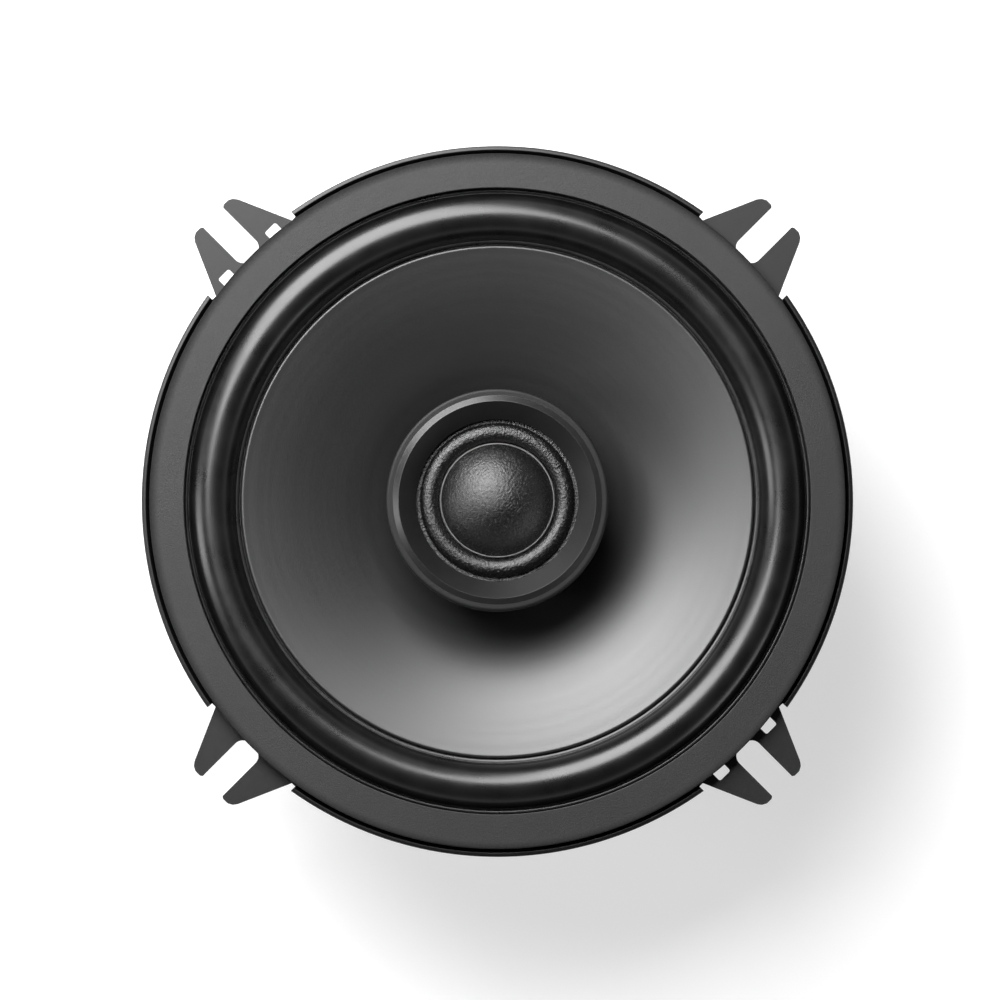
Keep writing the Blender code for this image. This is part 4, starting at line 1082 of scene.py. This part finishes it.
def arch(inner, outer, crown, steps):
    """Points of a circular arch between two feet, given as (radius, height), that tops out at a
    height. The feet may differ in height."""
    low, high = inner[0], outer[0]
    for _ in range(40):
        # the crown's radius, from how far each foot lies below the crown
        middle = (low + high) / 2
        drops = [crown - foot[1] for foot in (inner, outer)]
        bends = [((middle - foot[0]) ** 2 + d * d) / (2 * d) for foot, d in zip((inner, outer), drops)]
        low, high = (middle, high) if bends[0] < bends[1] else (low, middle)
    radius = bends[0]
    centre = (middle, crown - radius)
    start = math.degrees(math.atan2(inner[1] - centre[1], inner[0] - middle))
    end = math.degrees(math.atan2(outer[1] - centre[1], outer[0] - middle))
    return arc(centre, radius, start % 360, end, steps)


def surround():
    """A lip in the step of the cone's rim, a valley, a half roll, and a flat edge clamped under the
    gasket, with a fine bead along the gasket."""
    wall = 0.6 * MM
    seat = SURROUND_LOW + wall / 2
    inner, outer = (50.0 * MM, seat - 0.6 * MM), (57.9 * MM, seat)
    lip = cone_height(CONE_SHOULDER) - RIM_STEP + 0.35 * MM + GAP + wall / 2
    roll = arch(inner, outer, SURROUND_TOP - wall / 2, 30)
    valley = rounded(
        [(CONE_SHOULDER + 0.8 * MM, lip), (49.5 * MM, lip, 0.4 * MM), roll[2]], 0, closed=False
    )
    bead = [(58.25 * MM, seat), *arc((58.6 * MM, seat - 0.15 * MM), 0.3 * MM, 145, 35, 4), (58.95 * MM, seat)]
    line = [*valley, *roll[3:], *bead, (SEAT_OUTER - wall / 2, seat)]
    piece = lathe("surround_moulded", sheet(line, wall))
    place(piece, "surround", "blend")
    blend_by_radius(piece, "woofer_cone", inner[0], outer[0])


def spider():
    """Corrugated cloth from a collar on the former to a flat rim on the frame's ledge."""
    wall = 0.5 * MM
    waves, height = 3, 1.1 * MM
    level = SPIDER_LOW + wall / 2 + height
    collar = FORMER_OUTER + GAP + wall / 2
    first, last = collar + 1.6 * MM, 32.6 * MM
    line = [(SPIDER_OUTER - wall / 2, level), (last + 0.6 * MM, level)]
    for t in np.linspace(0, 1, 61):
        line.append((last + (first - last) * t, level + height * math.sin(math.tau * waves * t)))
    line.extend(rounded([(first, level), (collar, level, 0.5 * MM), (collar, level + 0.9 * MM)], 0, False)[1:])
    piece = lathe("spider_pressed", sheet(line, wall))
    place(piece, "spider", "blend")
    blend_by_radius(piece, "woofer_cone", collar + 0.4 * MM, last)


def tinsel(node, side):
    """A flexible lead of seven twisted strands, from the board to the cone's neck."""
    top = BLADE_HIGH.z + GAP + 0.5 * MM
    start_x, end_x = -40.2 * MM, -14.7 * MM
    stops = [
        (start_x, side * BLADE_OFFSET, top),
        (-37.0 * MM, side * 10.9 * MM, top + 1.7 * MM),
        (-31.0 * MM, side * 9.2 * MM, top + 1.9 * MM),
        (-24.0 * MM, side * 7.1 * MM, top - 0.1 * MM),
        (-18.0 * MM, side * 5.3 * MM, top - 1.3 * MM),
        (end_x, side * 4.3 * MM, top - 1.6 * MM),
    ]
    route = np.array([tuple(p) for p in smooth_route(stops, 0.22 * MM)])
    along = np.gradient(route, axis=0)
    along /= np.linalg.norm(along, axis=1)[:, None]
    across = np.cross(along, (0, 0, 1))
    across /= np.linalg.norm(across, axis=1)[:, None]
    over = np.cross(across, along)
    length = np.cumsum(np.linalg.norm(np.diff(route, axis=0, prepend=route[:1]), axis=1))
    strands, lay = 7, 3.2 * MM
    pieces = []
    for k in range(strands):
        turn = math.tau * (length / lay + k / strands)
        twist = across * np.cos(turn)[:, None] + over * np.sin(turn)[:, None]
        pieces.append(tube("strand", route + 0.3 * MM * twist, 0.17 * MM, 6))
    lead = joined(f"{node}_twisted", pieces)
    place(lead, node, "blend")
    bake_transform(lead, "frame", "woofer_cone", start=stops[0], end=stops[-1])
    points = np.array([v.co.x for v in lead.data.vertices])
    set_follow(lead, (points - start_x - 2 * MM) / (end_x - start_x - 3 * MM))


# ---------------------------------------------------------------- terminal board

def circle(centre, radius, sides=32):
    return [
        (centre[0] + radius * math.cos(math.tau * k / sides), centre[1] + radius * math.sin(math.tau * k / sides))
        for k in range(sides)
    ]


def eyelet(node, place_xy, low, high, shank, head):
    """A hollow rivet with a rolled head above and a flat one below."""
    edge = 0.5 * MM
    bore = shank * 0.55
    section = rounded(
        [
            (bore, high + edge * 0.7, 0.2 * MM),
            ((bore + head) / 2, high + edge, 0.4 * MM),
            (head, high + edge * 0.5, 0.2 * MM),
            (head, high),
            (shank, high),
            (shank, low),
            (head, low),
            (head, low - edge, 0.15 * MM),
            (bore, low - edge, 0.15 * MM),
        ],
        0.05 * MM,
        steps=3,
    )
    made = lathe(f"{node}_formed", section, SMALL)
    made.location = (*place_xy, 0)
    place(made, node)


def terminals():
    x0, x1 = BOARD_LOW.x, BOARD_HIGH.x
    y0, y1 = BOARD_LOW.y, BOARD_HIGH.y
    rivets = {
        "terminal_rivet_positive": (RIVET_X, BLADE_OFFSET),
        "terminal_rivet_negative": (RIVET_X, -BLADE_OFFSET),
        "crossover_tag_rivet": TAG_PLACE,
    }
    fixing = (-39.9 * MM, 0.0)
    board = curve_plate(
        "board_punched",
        [
            rounded([(x0, y0), (x1, y0), (x1, y1), (x0, y1)], 1.2 * MM),
            *[circle(p, 1.5 * MM) for p in rivets.values()],
            circle(fixing, 1.3 * MM),
        ],
        BOARD_LOW.z,
        BOARD_HIGH.z,
        0.08 * MM,
    )
    place(board, "terminal_board")
    for node, spot in rivets.items():
        metal = BLADE_HIGH.z - BLADE_LOW.z if "terminal" in node else 0.5 * MM
        eyelet(node, spot, BOARD_LOW.z - GAP, BLADE_LOW.z + metal + GAP, 1.2 * MM, 1.9 * MM)
    eyelet("board_rivet", fixing, LEDGE - SHEET / 2 - GAP, BOARD_HIGH.z + GAP, MM, 1.6 * MM)
    for node, side in (("terminal_positive", 1), ("terminal_negative", -1)):
        low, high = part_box(node)
        middle, half = side * BLADE_OFFSET, (high.y - low.y) / 2
        taper = 0.9 * MM
        outline = [
            (low.x, middle - half + taper),
            (low.x + taper, middle - half),
            (high.x - taper, middle - half),
            (high.x, middle - half + taper),
            (high.x, middle + half - taper),
            (high.x - taper, middle + half),
            (low.x + taper, middle + half),
            (low.x, middle + half - taper),
        ]
        blade = curve_plate(
            f"{node}_stamped",
            [rounded(outline, 0.4 * MM), circle((RIVET_X, middle), 1.5 * MM), circle((-52 * MM, middle), 0.8 * MM)],
            low.z,
            high.z,
            0.12 * MM,
        )
        place(blade, node)
    x, y = TAG_PLACE
    half = 1.7 * MM
    square = rounded([(x - half, y - half), (x + half, y - half), (x + half, y + half), (x - half, y + half)], 0.5 * MM)
    tag = curve_plate(
        "tag_stamped", [square, circle(TAG_PLACE, 1.5 * MM)], BLADE_LOW.z, BLADE_LOW.z + 0.5 * MM, 0.06 * MM
    )
    place(tag, "crossover_tag")
    capacitor()


def capacitor():
    """An aluminium can in a shrink sleeve, rolled in at one end, with a tinned lead from each."""
    x = -44.6 * MM
    radius, half = 3.15 * MM, 5.5 * MM
    middle = BLADE_LOW.z + radius + 0.1 * MM
    section = rounded(
        [
            (0, half - 0.25 * MM),
            (radius - 0.9 * MM, half - 0.25 * MM, 0.1 * MM),
            (radius - 0.8 * MM, half, 0.2 * MM),
            (radius, half, 0.5 * MM),
            (radius, -half + 1.9 * MM, 0.6 * MM),
            (radius - 0.35 * MM, -half + 1.2 * MM, 0.6 * MM),
            (radius, -half + 0.6 * MM, 0.5 * MM),
            (radius, -half, 0.5 * MM),
            (radius - 0.8 * MM, -half, 0.2 * MM),
            (radius - 0.9 * MM, -half + 0.25 * MM, 0.1 * MM),
            (0, -half + 0.25 * MM),
        ],
        0,
        closed=False,
        steps=4,
    )
    can = lathe("capacitor_can", section, SMALL)
    can.matrix_world = Matrix.Translation((x, 0, middle)) @ Matrix.Rotation(-math.pi / 2, 4, "X")
    bpy.context.view_layer.update()
    lead = 0.35 * MM
    routes = [
        [
            (x, half - MM, middle),
            (x, half + MM, middle),
            (x, half + 2.6 * MM, middle - 0.9 * MM),
            (x, 9.6 * MM, BLADE_HIGH.z + GAP + lead),
        ],
        [
            (x, MM - half, middle),
            (x, -half - 0.9 * MM, middle),
            (x + 0.6 * MM, -half - 1.7 * MM, middle - 0.9 * MM),
            (-41.9 * MM, -7.0 * MM, BLADE_LOW.z + MM + 2 * GAP + 2 * lead),
        ],
    ]
    leads = [tube("lead", smooth_route(route, 0.3 * MM), lead, 12) for route in routes]
    body_faces = len(can.data.polygons)
    made = joined("capacitor_sleeved", [can, *leads])
    made.data.materials.append(SLOTS["capacitor_sleeve"])
    made.data.materials.append(SLOTS["tinned_brass"])
    for face in made.data.polygons:
        ends = abs(face.center.y) > half - 0.3 * MM
        on_axis = math.hypot(face.center.x - x, face.center.z - middle) < radius - 0.85 * MM
        if face.index >= body_faces or (ends and on_axis):
            face.material_index = 1
    place(made, "crossover_capacitor")


# ---------------------------------------------------------------- tweeter

def tweeter():
    wall = 1.2 * MM
    outer = HOUSING_OUTER
    bore = 4.8 * MM
    housing = rounded(
        [
            (outer - wall, HOUSING_TOP),
            (outer, HOUSING_TOP),
            (outer, 48.6 * MM, 0.8 * MM),
            (outer - 0.7 * MM, 47.6 * MM, 0.8 * MM),
            (16.6 * MM, 42.2 * MM, 1.5 * MM),
            (15.4 * MM, HOUSING_LOW, 0.6 * MM),
            (bore, HOUSING_LOW),
            (bore, HOUSING_LOW + wall),
            (15.0 * MM, HOUSING_LOW + wall, 0.8 * MM),
            (outer - 0.7 * MM - wall, 48.0 * MM, 0.6 * MM),
            (outer - wall, 48.8 * MM, 0.3 * MM),
        ],
        0.15 * MM,
    )
    place(lathe("housing_moulded", housing, LARGE), "tweeter_housing")
    bezel()
    diaphragm()
    spacer_low, spacer_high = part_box("tweeter_spacer")
    section = rounded(
        [
            (bore, spacer_high.z),
            (spacer_high.y, spacer_high.z),
            (spacer_high.y, spacer_low.z),
            (bore, spacer_low.z),
        ],
        0.3 * MM,
    )
    place(lathe("spacer_moulded", section, MEDIUM), "tweeter_spacer")


def bezel():
    """The ring that holds the tweeter's cloth: a matte dish rising to a crest, a polished bevel
    down from it, and a flat matte band outside."""
    dish_inner, dish_low = 15.25 * MM, 54.0 * MM
    crest, band, band_level = 18.55 * MM, 19.65 * MM, 56.35 * MM
    seat = 53.75 * MM
    step = BEZEL_OUTER - 1.5 * MM
    under = 52.6 * MM
    ledge = 17.4 * MM
    section = rounded(
        [
            (dish_inner, seat),
            (dish_inner, dish_low, 0),
            (crest, CROWN, 0.12 * MM),
            (band, band_level, 0.1 * MM),
            (BEZEL_OUTER, band_level, 0.5 * MM),
            (BEZEL_OUTER, BEZEL_LOW, 0.2 * MM),
            (step, BEZEL_LOW, 0.2 * MM),
            (step, under),
            (ledge, under),
            (ledge, seat),
        ],
        0.05 * MM,
    )
    piece = lathe("bezel_moulded", section)
    piece.data.materials.append(SLOTS["black_plastic"])
    piece.data.materials.append(BEVEL)
    for face in piece.data.polygons:
        radius = math.hypot(face.center.x, face.center.y)
        if crest - 0.02 * MM < radius < band and face.center.z > band_level:
            face.material_index = 1
    place(piece, "tweeter_bezel")


def diaphragm():
    """A cloth dome with a bead of adhesive round it, light grey partly as a painted highlight, and the cloth half roll
    that it hangs from.
    """
    wall = 0.3 * MM
    base = DOME_LOW + wall / 2
    edge = 10.5 * MM
    height = DOME_TOP - wall / 2 - base
    radius = (edge**2 + height**2) / (2 * height)
    swing = math.degrees(math.asin(edge / radius))
    centre = base + height - radius
    angles = np.radians(np.linspace(90 - swing, 90, 33))
    line = [(radius * math.cos(a), centre + radius * math.sin(a)) for a in angles]
    line[-1] = (0.0, base + height)
    half = wall / 2
    outside = [(r * (1 + half / radius), z + half) for r, z in line]
    inside = [(r * (1 - half / radius), z - half) for r, z in line]
    ridge = arc((edge + 0.15 * MM, base + half + 0.05 * MM), 0.13 * MM, -60, 180, 8)
    foot = [(DOME_EDGE - half, base - half), *ridge]
    dome = lathe("dome_formed", [*reversed(inside), *foot, *outside], LARGE)
    dome.data.materials.append(SLOTS["dome_cloth"])
    dome.data.materials.append(ADHESIVE_PAINTED_HIGHLIGHT)
    # the bead's faces take the light grey adhesive, partly a painted highlight along the dome's edge
    for face in dome.data.polygons:
        if math.hypot(face.center.x, face.center.y) > edge + 0.03 * MM and face.center.z > base + half:
            face.material_index = 1
    place(dome, "tweeter_dome")

    roll_in, roll_out = 11.1 * MM, 14.4 * MM
    rise = 1.35 * MM
    chord = roll_out - roll_in
    bend = (chord * chord / 4 + rise * rise) / (2 * rise)
    turn = math.degrees(math.asin(chord / 2 / bend))
    roll = arc(((roll_in + roll_out) / 2, base + rise - bend), bend, 90 + turn, 90 - turn, 24)
    dip = base - 0.6 * MM
    line = [(17.0 * MM - half, base), (15.9 * MM, base), (15.5 * MM, dip), (roll_out + 0.1 * MM, dip), *reversed(roll)]
    piece = lathe("tweeter_roll_formed", sheet(line, wall))
    place(piece, "tweeter_surround", "blend")
    blend_by_radius(piece, "tweeter_dome", roll_in, roll_out)


def tweeter_wires():
    """From the tweeter down through its hollow bolt, along the groove and up to the board."""
    bend, groove = 44.9 * MM, 1.3 * MM
    radius = 0.5 * MM
    under = BOARD_LOW.z - GAP - 0.5 * MM - GAP - radius
    beside_magnet = -(MAGNET_OUTER + GAP + radius + 0.4 * MM)
    ends = {
        -1: [
            (beside_magnet - 1.1 * MM, -3.6 * MM, 22.4 * MM),
            (-40.3 * MM, -9.2 * MM, 26.8 * MM),
            (RIVET_X, -BLADE_OFFSET, under),
        ],
        1: [
            (beside_magnet - 0.9 * MM, -1.0 * MM, 23.2 * MM),
            (-39.6 * MM, -4.6 * MM, 27.0 * MM),
            (*TAG_PLACE, under),
        ],
    }
    for node, side in (("tweeter_wire_positive", 1), ("tweeter_wire_negative", -1)):
        beside = side * 0.85 * MM
        stops = [
            (-15.0 * MM, side * 3.7 * MM, bend),
            (-10.0 * MM, side * 2.2 * MM, bend),
            (-3.6 * MM, side * 1.1 * MM, bend),
            (-1.2 * MM, beside, bend - 1.6 * MM),
            (-1.0 * MM, beside, 38.0 * MM),
            (-1.0 * MM, beside, 20.0 * MM),
            (-1.0 * MM, beside, 5.0 * MM),
            (-2.2 * MM, beside, 2.0 * MM),
            (-5.0 * MM, beside, groove),
            (-20.0 * MM, beside, groove),
            (-33.0 * MM, beside, groove),
            (beside_magnet + 0.4 * MM, beside, 2.1 * MM),
            (beside_magnet, beside, 5.5 * MM),
            (beside_magnet, beside, 17.0 * MM),
            *ends[side],
        ]
        place(tube(f"{node}_sheathed", smooth_route(stops, 0.6 * MM), radius, 20), node)


# ---------------------------------------------------------------- studio

WALLS = 0.7
CEILING = 0.05


def floor():
    finish = Finish(
        "light table", Specular_IOR_Level=0.25, Emission_Color=(1, 1, 1, 1), Emission_Strength=0.53
    )
    fine = finish.noise(2 * MM, 4)
    finish.set("Base Color", finish.colours(fine, (0.2, (0.53, 0.53, 0.53)), (0.8, (0.54, 0.54, 0.54))))
    finish.set("Roughness", finish.spread(fine, 0.7, 0.8))
    finish.bump((fine, 0.01 * MM))
    half = 4.0
    level = -0.1 * MM
    mesh = bpy.data.meshes.new("floor")
    corners = [(-half, -half, level), (half, -half, level), (half, half, level), (-half, half, level)]
    mesh.from_pydata(corners, [], [(0, 1, 2, 3)])
    mesh.materials.append(finish.material)
    obj = bpy.data.objects.new("floor", mesh)
    bpy.context.scene.collection.objects.link(obj)


def softbox(name, around, off_axis, distance, size, power, aim=(0, 0, 0.045)):
    """A square light at an azimuth about the speaker and an angle from its axis, in degrees."""
    data = bpy.data.lights.new(name, "AREA")
    data.shape = "RECTANGLE"
    data.size, data.size_y = size
    data.energy = power
    light = bpy.data.objects.new(name, data)
    a, o = math.radians(around), math.radians(off_axis)
    way = Vector((math.sin(o) * math.cos(a), math.sin(o) * math.sin(a), math.cos(o)))
    light.location = Vector(aim) + way * distance
    light.rotation_euler = way.to_track_quat("Z", "Y").to_euler()
    bpy.context.scene.collection.objects.link(light)


def camera():
    """Straight over the speaker, rolled so that the ear pairs lie on the picture's diagonals, and
    leaning two degrees."""
    field = 188.5 * MM
    plane = FLANGE
    distance = 2.6
    lean = math.radians(2.2)
    up = Vector((1, 1, 0)).normalized()
    right = Vector((1, -1, 0)).normalized()
    data = bpy.data.cameras.new("camera")
    data.sensor_width = 36.0
    data.lens = data.sensor_width * distance / field
    data.clip_end = 20.0
    obj = bpy.data.objects.new("camera", data)
    back = (Vector((0, 0, 1)) * math.cos(lean) - up * math.sin(lean)).normalized()
    target = Vector((0, 0, plane)) + right * 0.5 * MM + up * 0.3 * MM
    true_up = up * math.cos(lean) + Vector((0, 0, 1)) * math.sin(lean)
    turn = Matrix((right, true_up, back)).transposed()
    obj.matrix_world = Matrix.Translation(target + back * distance) @ turn.to_4x4()
    bpy.context.scene.collection.objects.link(obj)
    bpy.context.scene.camera = obj


def pale_room():
    """A room with pale walls all round and a dark ceiling over the speaker."""
    world = bpy.data.worlds.new("studio")
    world.use_nodes = True
    tree = world.node_tree
    way = tree.nodes.new("ShaderNodeTexCoord").outputs["Generated"]
    split = tree.nodes.new("ShaderNodeSeparateXYZ")
    tree.links.new(way, split.inputs["Vector"])
    height = tree.nodes.new("ShaderNodeMapRange")
    height.interpolation_type = "SMOOTHSTEP"
    for socket, value in (("From Min", 0.1), ("From Max", 0.66), ("To Min", WALLS), ("To Max", CEILING)):
        height.inputs[socket].default_value = value
    tree.links.new(split.outputs["Z"], height.inputs["Value"])
    background = tree.nodes["Background"]
    background.inputs["Color"].default_value = (1.0, 1.0, 1.0, 1.0)
    tree.links.new(height.outputs["Result"], background.inputs["Strength"])
    return world


def studio():
    scene = bpy.context.scene
    scene.world = pale_room()
    scene.view_settings.view_transform = "Standard"
    scene.view_settings.look = "None"
    softbox("key", 75, 41, 0.43, (0.33, 0.43), 6.1)
    softbox("side", 140, 66, 0.8, (0.2, 0.4), 2.0)
    softbox("fill", -80, 78, 1.0, (0.4, 0.3), 1.0)
    floor()
    camera()


def build():
    read_record()
    motor()
    basket()
    gasket()
    woofer()
    terminals()
    tweeter()
    tweeter_wires()
    refinish_kept_nodes()
    studio()


build()
